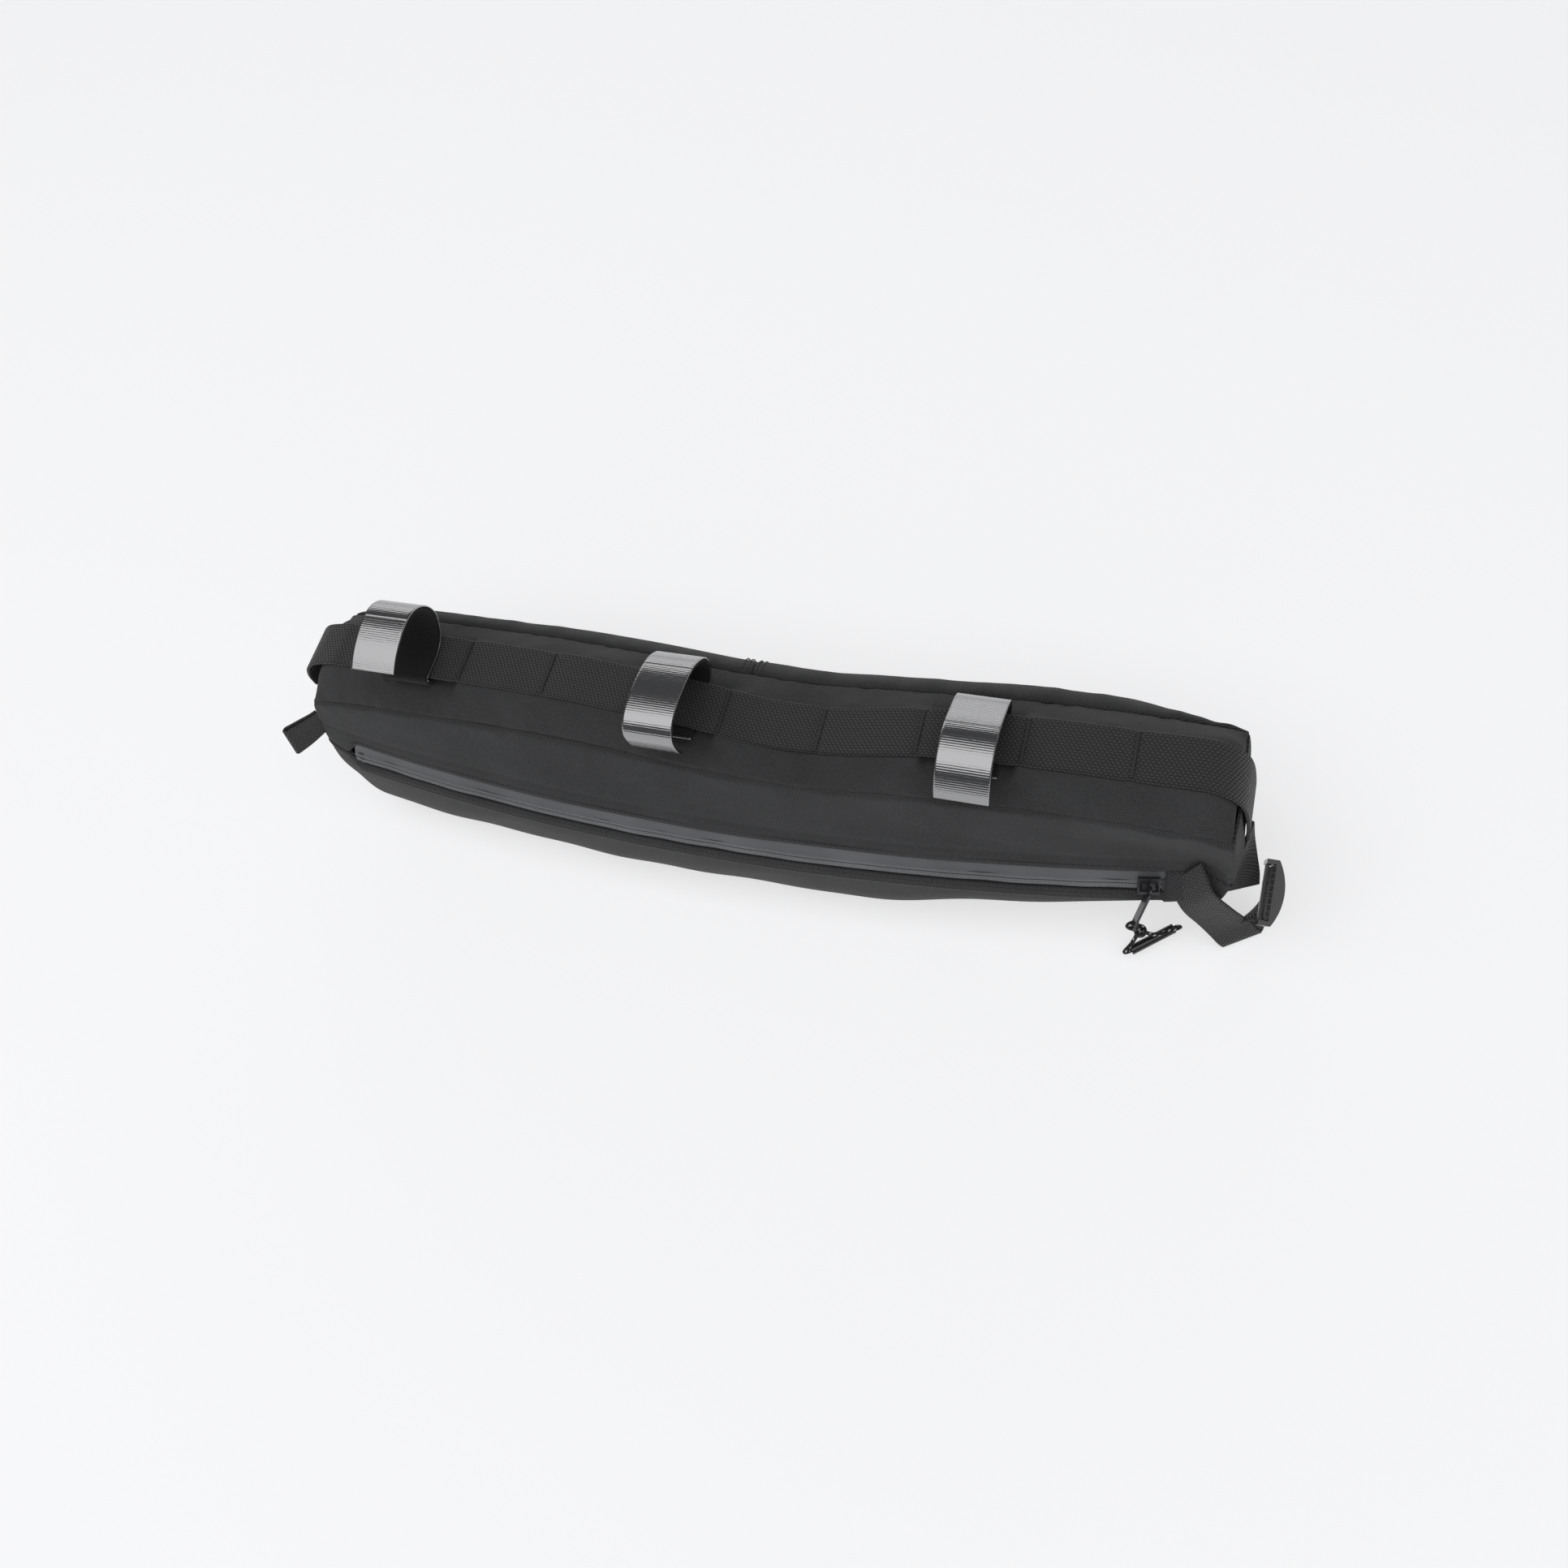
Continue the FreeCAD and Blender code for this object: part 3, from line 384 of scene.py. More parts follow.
def tube(name, points, radius, material, body, node, sides, count):
    """A round cord along a smooth line; u runs along it and v round it, in millimetres."""
    line = smooth_line(points, count)
    tangent = np.gradient(line, axis=0)
    tangent /= np.linalg.norm(tangent, axis=1, keepdims=True)
    a = np.cross(tangent[0], [0.3, 0.5, 0.8])
    verts, uvs = [], []
    run = np.concatenate([[0], np.cumsum(np.linalg.norm(np.diff(line, axis=0), axis=1))])
    for i in range(count):
        a = a - tangent[i] * np.dot(a, tangent[i])
        a /= np.linalg.norm(a)
        b = np.cross(tangent[i], a)
        for k in range(sides):
            w = 2 * math.pi * k / sides
            verts.append(line[i] + (a * math.cos(w) + b * math.sin(w)) * radius)
            uvs.append((run[i], w * radius))
    faces = []
    for i in range(count - 1):
        for k in range(sides):
            m = (k + 1) % sides
            faces.append([i * sides + k, i * sides + m, (i + 1) * sides + m, (i + 1) * sides + k])
    faces.append(list(range(sides))[::-1])
    faces.append([(count - 1) * sides + k for k in range(sides)])
    obj = add_mesh(name, verts, faces, uvs, material, body)
    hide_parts(node)


# ---- materials ------------------------------------------------------------------------------------------
class Shader:
    """A Principled material with a short way to wire in procedural detail."""

    def __init__(self, name, color, rough, **inputs):
        self.material = bpy.data.materials.new(name)
        self.material.use_nodes = True
        self.tree = self.material.node_tree
        self.bsdf = self.tree.nodes["Principled BSDF"]
        self.bsdf.inputs["Base Color"].default_value = (*color, 1.0)
        self.bsdf.inputs["Roughness"].default_value = rough
        for key, value in inputs.items():
            self.bsdf.inputs[key.replace("_", " ")].default_value = value

    def node(self, kind, **values):
        made = self.tree.nodes.new("ShaderNode" + kind)
        for key, value in values.items():
            setattr(made, key, value)
        return made

    def link(self, a, b):
        self.tree.links.new(a, b)
        return b

    def math(self, operation, a, b=None):
        made = self.node("Math", operation=operation)
        for k, value in enumerate((a, b)):
            if value is None:
                continue
            if isinstance(value, (int, float)):
                made.inputs[k].default_value = value
            else:
                self.link(value, made.inputs[k])
        return made.outputs[0]

    def uv(self):
        split = self.node("SeparateXYZ")
        self.link(self.node("UVMap").outputs[0], split.inputs[0])
        return split.outputs[0], split.outputs[1]

    def sine(self, value, pitch):
        return self.math("SINE", self.math("MULTIPLY", value, 2 * math.pi / pitch))

    def noise(self, scale, detail):
        made = self.node("TexNoise")
        made.inputs["Scale"].default_value = scale
        made.inputs["Detail"].default_value = detail
        self.link(self.node("TexCoord").outputs["Object"], made.inputs["Vector"])
        return made.outputs["Fac"]

    def bump(self, height, distance):
        made = self.node("Bump")
        made.inputs["Distance"].default_value = distance
        made.inputs["Strength"].default_value = 1.0
        self.link(height, made.inputs["Height"])
        self.link(made.outputs[0], self.bsdf.inputs["Normal"])

    def tint(self, share, dark, light):
        """Scale the base colour from dark to light as share goes from 0 to 1."""
        ramp = self.node("MapRange")
        self.link(share, ramp.inputs[0])
        ramp.inputs[1].default_value, ramp.inputs[2].default_value = 0.0, 1.0
        ramp.inputs[3].default_value, ramp.inputs[4].default_value = dark, light
        base = self.bsdf.inputs["Base Color"].default_value
        mix = self.node("VectorMath", operation="SCALE")
        mix.inputs[0].default_value = base[:3]
        self.link(ramp.outputs[0], mix.inputs["Scale"])
        self.link(mix.outputs[0], self.bsdf.inputs["Base Color"])


def cloth_material(name, color, pitch, twill=False, depth=0.00022):
    """Plain or twill weave as small bumps with painted shade in the gaps, and a slow change over the panel.
    """
    s = Shader(name, color, 0.86, Sheen_Weight=0.06, Sheen_Roughness=0.5, Specular_IOR_Level=0.25)
    u, v = s.uv()
    if twill:
        u, v = s.math("ADD", u, v), s.math("SUBTRACT", u, v)
        weave = s.math("MULTIPLY", s.sine(u, pitch * 1.9), s.sine(v, pitch * 1.1))
    else:
        weave = s.math("MULTIPLY", s.sine(u, pitch), s.sine(v, pitch))
    fuzz = s.noise(900.0, 3.0)
    raised = s.math("MULTIPLY", s.math("ADD", weave, 1.0), 0.5)
    height = s.math("ADD", raised, s.math("MULTIPLY", fuzz, 0.5))
    s.bump(height, depth)
    slow = s.math("MULTIPLY", s.noise(38.0, 3.0), 0.35)
    # Base colour follows the weave's height: painted shade in the gaps, painted light on the raised threads,
    # with a slow random change of tone.
    s.tint(s.math("ADD", s.math("MULTIPLY", height, 0.75), slow), -0.1, 1.75)
    return s.material


def tape_material(name, color):
    """Coated zipper tape: the coil's teeth press through beside the slit with painted light, and slow painted
    shading runs along it.
    """
    s = Shader(name, color, 0.42, Specular_IOR_Level=0.6)
    u, v = s.uv()
    from_row = s.math("ABSOLUTE", s.math("SUBTRACT", v, 1.35))
    window = s.math("MAXIMUM", s.math("SUBTRACT", 1.0, from_row), 0.0)
    teeth = s.math("MULTIPLY", s.math("ADD", s.math("MULTIPLY", s.sine(u, 1.35), 0.5), 0.5), window)
    height = s.math("ADD", teeth, s.math("MULTIPLY", s.noise(900.0, 2.0), 0.2))
    s.bump(height, 0.00025)
    slow = s.math("MULTIPLY", s.noise(26.0, 2.0), 0.8)
    # Base colour: painted light on the pressed-through teeth, and slow painted shading along the tape for its
    # waviness.
    s.tint(s.math("ADD", s.math("MULTIPLY", teeth, 0.5), slow), 0.62, 1.5)
    return s.material


def lining_material(name, color):
    """Fine-woven cloth of the lower panel: dense specks instead of an open weave."""
    s = Shader(name, color, 0.8, Sheen_Weight=0.08, Specular_IOR_Level=0.3)
    u, v = s.uv()
    weave = s.math("MULTIPLY", s.sine(u, 0.55), s.sine(v, 0.55))
    height = s.math("ADD", s.math("MULTIPLY", weave, 0.35), s.noise(1300.0, 4.0))
    s.bump(height, 0.00012)
    slow = s.math("MULTIPLY", s.noise(30.0, 3.0), 0.3)
    # Base colour follows the relief: painted shade in the fine weave's gaps, random specks, and a slow change
    # of tone.
    s.tint(s.math("ADD", s.math("MULTIPLY", height, 0.7), slow), 0.35, 1.6)
    return s.material


def webbing_material(name, color):
    """Ribs along the webbing, broken into short floats like a brick wall."""
    s = Shader(name, color, 0.72, Sheen_Weight=0.15, Specular_IOR_Level=0.35)
    u, v = s.uv()
    rib = s.math("ABSOLUTE", s.sine(v, 3.0))
    row = s.math("MULTIPLY", s.math("FLOOR", s.math("DIVIDE", v, 1.5)), math.pi)
    knot = s.math("SINE", s.math("ADD", s.math("MULTIPLY", u, 2 * math.pi / 2.1), row))
    fuzz = s.noise(1400.0, 2.0)
    height = s.math("ADD", s.math("MULTIPLY", rib, 0.65), s.math("MULTIPLY", knot, 0.3))
    height = s.math("ADD", height, s.math("MULTIPLY", fuzz, 0.25))
    s.bump(height, 0.0005)
    # Base colour follows the relief: painted shade in the grooves, painted light on the ribs and floats.
    s.tint(height, 0.05, 1.95)
    return s.material


def coated_material(name, color):
    """Satin film on a strap: fine lines across it and a slow waviness."""
    s = Shader(name, color, 0.19, Metallic=1.0)
    u = s.uv()[0]
    lines = s.math("MULTIPLY", s.sine(u, 1.15), 0.35)
    s.bump(s.math("ADD", lines, s.math("MULTIPLY", s.noise(260.0, 2.0), 1.2)), 0.00006)
    return s.material


def pile_material(name, color):
    """The short, dull pile inside a strap."""
    s = Shader(name, color, 0.95, Sheen_Weight=0.12, Sheen_Roughness=0.6, Specular_IOR_Level=0.1)
    s.bump(s.noise(1500.0, 4.0), 0.0006)
    return s.material


def plain_material(name, color, rough, **inputs):
    """Plastic, metal, foam or thread: an even colour with a very fine grain."""
    s = Shader(name, color, rough, **inputs)
    s.bump(s.noise(700.0, 2.0), 0.00003)
    return s.material


def cord_material(name, color):
    """Braided cord with pale flecks."""
    s = Shader(name, color, 0.7, Specular_IOR_Level=0.3)
    u, v = s.uv()
    braid = s.math("MULTIPLY", s.sine(s.math("ADD", u, v), 1.3), s.sine(s.math("SUBTRACT", u, v), 1.3))
    s.bump(braid, 0.00018)
    round_it = s.math("ADD", s.math("MULTIPLY", u, 0.31), v)
    fleck = s.math("MULTIPLY", s.sine(u, 5.6), s.sine(round_it, 3.1))
    pale = s.math("GREATER_THAN", fleck, 0.62)
    mix = s.node("MixRGB")
    s.link(pale, mix.inputs[0])
    mix.inputs[1].default_value = (*color, 1.0)
    mix.inputs[2].default_value = (0.62, 0.62, 0.6, 1.0)
    s.link(mix.outputs[0], s.bsdf.inputs["Base Color"])
    return s.material


def make_materials():
    return {
        "panel": cloth_material("pack_cloth", (0.038, 0.0386, 0.040), 1.25),
        "gusset": cloth_material("gusset_cloth", (0.040, 0.0405, 0.042), 0.95, twill=True),
        "patch": cloth_material("patch_cloth", (0.034, 0.034, 0.036), 1.9, depth=0.0004),
        "webbing": webbing_material("webbing", (0.030, 0.030, 0.032)),
        "thread": plain_material("thread", (0.030, 0.030, 0.032), 0.6),
        "coat": coated_material("coated_strap", (0.34, 0.34, 0.345)),
        "pile": pile_material("pile", (0.012, 0.012, 0.013)),
        "tape": tape_material("zip_tape", (0.125, 0.128, 0.136)),
        "lower": lining_material("fine_cloth", (0.050, 0.0505, 0.052)),
        "coil": plain_material("coil", (0.015, 0.015, 0.016), 0.45),
        "gloss": plain_material("hard_plastic", (0.012, 0.012, 0.013), 0.22, Specular_IOR_Level=0.6),
        "metal": plain_material("slider_metal", (0.05, 0.05, 0.055), 0.34, Metallic=0.6),
        "cord": cord_material("cord", (0.02, 0.02, 0.022)),
        "foam": plain_material("foam", (0.05, 0.05, 0.05), 0.9),
    }


# ---- panels ---------------------------------------------------------------------------------------------
def panel_grid(x_low, x_high, z_low, z_high, y_of, nu, nv, spread, crowd):
    """Points of a side panel: columns from its rear end to its front end, rows from low to high."""
    u = np.linspace(0, 1, nu)[:, None]
    w = spread(np.linspace(0, 1, nv))[None, :]
    u = lerp(u, (1 - np.cos(math.pi * u)) / 2, crowd)
    guess = lerp(x_low(0.5), x_high(0.5), u)
    v = height_share(guess, lerp(z_low(guess), z_high(guess), w))
    x = lerp(x_low(v), x_high(v), u)
    z = lerp(z_low(x), z_high(x), w)
    return np.stack([x, y_of(x, z), z], 2)


def row_of(points, column, inset, inward):
    """The line of a grid's column nearest to an inset from its edge, with its outward normals."""
    across = lengths_along(points, 1)
    across = across if column == 0 else across[:, -1:] - across
    line = []
    for i in range(points.shape[0]):
        order = np.argsort(across[i])
        line.append([np.interp(inset, across[i][order], points[i, order, k]) for k in range(3)])
    n = normals_of(points)[:, column]
    sign = -1.0 if np.dot(n[len(n) // 2], inward) > 0 else 1.0
    return np.array(line), n * sign


NEAR_INWARD = np.array([0, 1.0, 0])
STITCH_REAR_X = -224


def near_side(mat):
    near_upper(mat)
    near_lower(mat)
    corner_patch(mat)


def even(w):
    return w


def near_upper(mat):
    """The panel above the zipper, puckered under the top seam, with a stitched row above the zipper."""
    upper = panel_grid(rear_x, front_x, lambda x: zip_z(x) + opening(x), top_z, near_y, 260, 40, even, 0.5)
    x, z = upper[..., 0], upper[..., 2]
    v = (z - zip_z(x)) / (top_z(x) - zip_z(x))
    detail = 0.55 * waves(x, z * 2.2, 70.0, 3) * np.sin(math.pi * np.clip(v, 0, 1))
    pucker = waves(x, z * 0.2, 15.0, 5) * 0.35 + waves(x, z * 0.1, 33.0, 8) * 0.5
    detail += pucker * np.exp(-((top_z(x) - z) / 7.0) ** 2) * 0.9
    detail -= 0.55 * np.exp(-(((z - zip_z(x) - ZIP_OPENING - 7.5) / 1.6) ** 2))
    roll = (1.5, 1.5, 0.5, 2.4)
    cloth("near_upper", upper, NEAR_INWARD, mat["panel"], roll, ["near_upper_panel"], detail)
    line, normal = row_of(upper, 0, 2.6, NEAR_INWARD)
    keep = (line[:, 0] > STITCH_REAR_X) & (line[:, 0] < 214)
    stitches("stitch_upper", line[keep], normal[keep], mat["thread"], radius=0.4)


def near_lower(mat):
    """The panel of finer cloth below the zipper, with a stitched hem of the panel cloth on top of it."""

    def front(v):
        return CORNER_X + 0 * v

    def hem_top(x):
        return zip_z(x) - 0.56 * opening(x)

    def hem_low(x):
        return zip_z(x) - 1.04 * opening(x)

    def crowd_up(w):
        return 1 - (1 - w) ** 1.3

    lower = panel_grid(rear_x, front, base_z, hem_low, near_y, 260, 60, crowd_up, 0.5)
    x, z = lower[..., 0], lower[..., 2]
    detail = 0.7 * waves(x, z * 1.6, 60.0, 13) * np.clip((zip_z(x) - 8 - z) / 12, 0, 1)
    detail += 0.5 * np.exp(-(((hem_low(x) - z - 1.1) / 0.8) ** 2))
    cloth("near_lower", lower, NEAR_INWARD, mat["lower"], (1.5, 0.4, 1.2, 0.7), ["near_lower_panel"], detail)
    hem_lift = 0.25
    hem = panel_grid(rear_x, front, lambda x: hem_low(x) - 0.4, hem_top, near_y, 260, 12, even, 0.5)
    lift = hem_lift + 0 * hem[..., 0]
    cloth("near_lower_hem", hem, NEAR_INWARD, mat["panel"], roll=(0.8, 0.4, 0.6, 0.9), detail=lift)
    line, normal = row_of(hem, -1, 1.9, NEAR_INWARD)
    keep = (line[:, 0] > STITCH_REAR_X) & (line[:, 0] < 210)
    stitches("stitch_lower", line[keep] + normal[keep] * hem_lift, normal[keep], mat["thread"])


def corner_patch(mat):
    """The coarse cloth over the near side's front lower corner, proud of the panels."""

    def rear(v):
        return CORNER_X - 1.5 + 0 * v

    def top(x):
        return zip_z(x) + ZIP_OPENING + 1.0

    patch = panel_grid(rear, front_x, base_z, top, near_y, 30, 26, even, 0.0)
    patch[..., 1] -= 0.9
    cloth("corner_patch_cloth", patch, NEAR_INWARD, mat["patch"], (0.8, 1.0, 0.8, 0.8), ["corner_patch"])


def far_side(mat):
    """The two panels of the far side, joined along a slanting seam with two rows of stitches."""
    far = np.array([0, -1.0, 0])

    def seam(v):
        return -9.0 + 26.0 * (v - 0.5)

    def both(w):
        return (1 - np.cos(math.pi * w)) / 2

    for name, low, high, seed in (
        ("far_rear", rear_x, lambda v: seam(v) - 0.1, 21),
        ("far_front", lambda v: seam(v) + 0.1, front_x, 22),
    ):
        grid = panel_grid(low, high, base_z, top_z, far_y, 150, 60, both, 0.5)
        x, z = grid[..., 0], grid[..., 2]
        v = height_share(x, z)
        detail = 0.8 * waves(x, z * 1.5, 62.0, seed) * np.sin(math.pi * v) - 0.4
        pucker = waves(x, z * 0.1, 17.0, seed + 9) * 0.5
        detail += pucker * np.exp(-((top_z(x) - z) / 8.0) ** 2)
        roll = (1.5, 1.2, 1.5, 2.4) if name == "far_rear" else (1.2, 1.5, 1.5, 2.4)
        cloth(name, grid, far, mat["panel"], roll, [name + "_panel"], detail)
        column = -1 if name == "far_rear" else 0
        turned = np.transpose(grid, (1, 0, 2))
        for inset in (2.2, 5.0):
            line, normal = row_of(turned, column, inset, far)
            stitches("stitch_%s_%d" % (name, int(inset)), line, normal, mat["thread"])


def gussets(mat):
    top_gusset(mat)
    base_gusset(mat)
    end_gusset(mat, "rear", rear_x, REAR_X, -1)
    end_gusset(mat, "front", front_x, FRONT_X, 1)


def top_gusset(mat):
    """The strip between the top seams: a crest under the webbing, dips at the tacks, puckered edges."""
    u = np.linspace(0, 1, 420)[:, None]
    q = np.linspace(-1, 1, 61)[None, :]
    x = lerp(REAR_X, FRONT_X, u) + 0 * q
    half = GUSSET_HALF - 0.6
    flank = np.maximum(0.0, (np.abs(q) - 0.42) / 0.58)
    rise = 1 - flank**1.35
    beside = ease((np.abs(q) - 0.44) / 0.22)
    z = top_z(x) + (lerp(crown_z(x), crown_z(x, soft_cell), beside) - top_z(x)) * rise
    tack = np.zeros_like(x)
    for i in range(TACK_COUNT):
        tack += bump(x, FIRST_TACK_X + i * TACK_PITCH, 7.0)
    valley = np.exp(-(((np.abs(q) - 0.56) / 0.16) ** 2))
    detail = -0.9 * tack * valley + 0.55 * waves(x, q * 20, 26.0, 31) * valley
    detail += 0.6 * waves(x, q * 6, 13.0, 33) * np.exp(-(((1 - np.abs(q)) / 0.14) ** 2)) - 0.3
    detail *= np.clip((1 - np.abs(q)) * 12, 0, 1)
    detail = np.where(np.abs(q) < 0.45, np.minimum(detail, 0.0), detail)
    grid = np.stack([x, ridge_y(x) + q * half, z + 0 * q], 2)
    down = np.array([0, 0, -1.0])
    cloth("gusset_top", grid, down, mat["gusset"], (1.0, 1.0, 2.2, 2.2), ["top_gusset"], detail)


def base_gusset(mat):
    q = np.linspace(-1, 1, 11)[None, :]
    x = lerp(REAR_X, FRONT_X, np.linspace(0, 1, 90))[:, None] + 0 * q
    grid = np.stack([x, q * (BASE_HALF - 1.0) + 0 * x, base_z(x)], 2)
    cloth("gusset_base", grid, np.array([0, 0, 1.0]), mat["gusset"], nodes=["base_gusset"])


def end_gusset(mat, name, end, edge, out):
    """The strip that closes one end: it bulges between the seams, the front one most near its foot."""
    w = np.linspace(0, 1, 50)[:, None]
    p = np.linspace(-1, 1, 41)[None, :]
    low, high = float(base_z(np.array(edge))) + 0.8, float(top_z(np.array(edge))) - 0.3
    z = lerp(low, high, w) + 0 * p
    v = height_share(np.full_like(z, edge), z)
    half = lerp(BASE_HALF, GUSSET_HALF, v) - 0.8
    proud = (REAR_CROWN if out < 0 else FRONT_CROWN) * (1 - p * p) * np.sin(math.pi * w)
    if out > 0:
        proud = proud + FRONT_FILL * bump(p, -0.6, 0.35) * bump(w, 0.3, 0.25) * (1 - p**8)
    x = end(v) + out * proud
    y = lerp(0.0, ridge_y(np.array(edge)), v) + p * half
    grid = np.stack([x, y, z], 2)
    detail = 0.4 * waves(z, y, 22.0, 41) * (1 - p * p)
    inward = np.array([-out, 0, 0.0])
    cloth("gusset_" + name, grid, inward, mat["gusset"], (0, 0, 1.6, 1.6), [name + "_gusset"], detail)


# ---- webbing, tacks and straps --------------------------------------------------------------------------
def web_line():
    """The top webbing's middle line, which rolls over both ends of the bag, its sides and its normals."""
    points = [(-245.2, 83.0), (-244.6, 90.0), (-241.8, 97.0), (-237.4, 103.0), (-230.6, 108.0)]
    points += [(x, float(web_top_z(np.array(float(x)))) - WEB_THICK / 2) for x in range(-218, 221, 6)]
    points += [(226.6, 110.4), (233.4, 107.0), (238.0, 101.8), (240.6, 95.5)]
    points += [(242.2, 88.0), (243.6, 78.0), (244.4, 68.0)]
    guide = [(x, float(ridge_y(np.array(x))), z) for x, z in points]
    return smooth_line(guide, 560, [(0, 1.0, 0)] * len(guide))


def webbing(mat):
    line, side, up = web_line()
    up = np.where(up[:, 2:3] + up[:, 0:1] * np.sign(line[:, 0:1]) < 0, -up, up)
    x = line[:, 0]
    tack = np.zeros_like(x)
    for i in range(TACK_COUNT):
        tack += bump(x, FIRST_TACK_X + i * TACK_PITCH, 3.0)
    line = line - up * (0.25 * tack)[:, None]
    line[:, 2] += 0.35 * waves(x, 0 * x, 40.0, 51) * (1 - np.clip(tack, 0, 1))
    size = (WEB_WIDTH - 0.6, WEB_THICK)
    narrow = 1 - 0.035 * tack
    strip("webbing_top", line, side, up, size, mat["webbing"], "bag", "daisy_chain_webbing", 40, narrow)
    for i in range(TACK_COUNT):
        bar_tack(mat, "bar_tack_%d" % (i + 1), FIRST_TACK_X + i * TACK_PITCH)


def bar_tack(mat, node, x0):
    """Zigzag thread across the webbing, packed close."""
    path = []
    turns, reach, swing, thread_r = 58, 11.2, 0.95, 0.26
    y0, z0 = float(ridge_y(np.array(x0))), float(web_top_z(np.array(x0))) - 0.12
    for k in range(turns):
        y = y0 - reach + 2 * reach * k / (turns - 1)
        path.append((x0 + (swing if k % 2 else -swing), y, z0 + 0.3))
    tube(node + "_thread", path, thread_r, mat["thread"], "bag", node, 6, turns * 4)


def curve_depth(points, count, start, end):
    """Evenly spaced (y, z) between two shares of a profile's length, outward normals, places along it."""
    line = smooth_line(points, 400)
    run = np.concatenate([[0], np.cumsum(np.linalg.norm(np.diff(line, axis=0), axis=1))])
    at = np.linspace(start * run[-1], end * run[-1], count)
    p = np.stack([np.interp(at, run, line[:, k]) for k in range(2)], 1)
    back, on = np.clip(at - 0.8, 0, run[-1]), np.clip(at + 0.8, 0, run[-1])
    t = np.stack([np.interp(on, run, line[:, k]) - np.interp(back, run, line[:, k]) for k in range(2)], 1)
    t /= np.linalg.norm(t, axis=1, keepdims=True)
    return p, np.stack([t[:, 1], -t[:, 0]], 1), at


def strap_layer(name, points, start, end, d0, d1, x0, material, body):
    """One ply of a strap: its profile between two depths, carried across the strap's width."""
    count = 90
    p, n, run = curve_depth(points, count, start, end)
    xs = np.linspace(0.0, STRAP_WIDTH, 20)
    rim = 0.35
    ring = [(xs[0], (d0 + d1) / 2)] + [(min(max(a, rim), STRAP_WIDTH - rim), d0) for a in xs]
    ring += [(xs[-1], (d0 + d1) / 2)] + [(min(max(a, rim), STRAP_WIDTH - rim), d1) for a in xs[::-1]]
    verts, uvs = [], []
    for i in range(count):
        for a, d in ring:
            y, z = p[i] - n[i] * d
            verts.append((x0 + a, y, z))
            uvs.append((run[i], a))
    k = len(ring)
    faces = []
    for i in range(count - 1):
        for j in range(k):
            m = (j + 1) % k
            faces.append([i * k + j, (i + 1) * k + j, (i + 1) * k + m, i * k + m])
    faces.append(list(range(k)))
    faces.append([(count - 1) * k + j for j in range(k)][::-1])
    return add_mesh(name, verts, faces, uvs, material, body)


def strap(mat, number, points, share, x0):
    """A strap's band with its pile, and its tail, which carries on along the same profile."""
    body = "strap_%d" % number
    coat = strap_layer(body + "_coat", points, 0.0, share, 0.0, COAT, x0, mat["coat"], body)
    pile = strap_layer(body + "_pile", points, 0.0, share, COAT, COAT + PLY, x0, mat["pile"], body)
    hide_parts(body + "_band")
    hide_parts(body + "_lining")
    p = curve_depth(points, 2, share, min(1.0, share + 0.12))[0]
    for kind, d0, d1 in (("coat", 0.0, COAT), ("pile", COAT, COAT + PLY)):
        tail = strap_layer(body + "_tail_" + kind, points, share, 1.0, d0, d1, x0, mat[kind], None)
        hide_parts(body + ("_tail" if kind == "coat" else "_tail_lining"))
        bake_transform(tail)


def strap_under(x0, x1):
    """Height just below the webbing between two places along it."""
    return float(min(web_top_z(np.array(x0)), web_top_z(np.array(x1)))) - WEB_THICK - 0.6


def straps(mat):
    """The closed ring at the rear and the two straps that stand open."""
    ring, tail, hinge_y = closed_profile()
    whole = ring + tail
    strap(mat, 1, whole, share_of_top(whole, hinge_y), STRAP_X[0])
    low = strap_under(-41.5, -5.0) - PLY - COAT - 0.05
    points = [(-21.5, low + 1.8), (-15.0, low), (-4.0, low), (6.0, low), (12.5, low + 1.0)]
    points += [(16.6, 110.9), (17.6, 116.2), (16.2, 122.3), (12.0, 127.4), (7.1, 131.1), (0.5, 133.9)]
    points += [(-5.1, 135.2), (-10.8, 136.0), (-16.7, 136.3), (-22.1, 136.0), (-26.7, 134.9), (-30.2, 132.9)]
    points += [(-32.8, 129.6), (-33.9, 124.8), (-33.3, 117.5), (-31.8, 112.1)]
    strap(mat, 2, points, share_at(points, 3.0), STRAP_X[1])
    low = strap_under(102.0, 138.5) - PLY - COAT - 0.05
    points = [(-18.5, low + 1.8), (-12.0, low), (-1.0, low), (9.0, low), (15.0, low + 0.9)]
    points += [(18.6, 111.0), (18.6, 115.6), (14.4, 120.6), (7.0, 125.0), (-0.2, 128.9), (-6.0, 131.4)]
    points += [(-11.0, 132.4), (-17.0, 132.0), (-22.8, 130.2), (-27.3, 127.2), (-30.5, 123.5), (-33.1, 119.2)]
    points += [(-34.6, 114.9)]
    strap(mat, 3, points, share_at(points, -4.4), STRAP_X[2])


def closed_profile():
    """Strap 1 as (y, z): under the webbing, round its near edge, back over it, round the tube, the tail."""
    cy, cz, r = 1.0, 129.7, 17.2
    low, high, edge, turn = 110.0, 112.5, -10.9, 1.25
    ring = [(10.0, low), (4.0, low), (-2.0, low), (-6.0, low), (-8.4, low), (-9.8, low)]
    half_turn = np.linspace(0, math.pi, 7)
    ring += [(edge - turn * math.sin(a), low + turn - turn * math.cos(a)) for a in half_turn]
    ring += [(-9.8, high), (-8.4, high), (-6.0, high), (-2.6, high)]
    ring += [(cy + r * math.cos(a), cz + r * math.sin(a)) for a in np.radians(np.linspace(-90, 90, 19))]
    top = cz + r
    tail = [(-1.0, top - 0.02), (-3.4, top - 0.15), (-6.0, top - 0.5), (-13.0, top - 2.1)]
    tail += [(-19.5, top - 4.4), (-25.5, top - 7.6)]
    return ring, tail, cy - 0.1


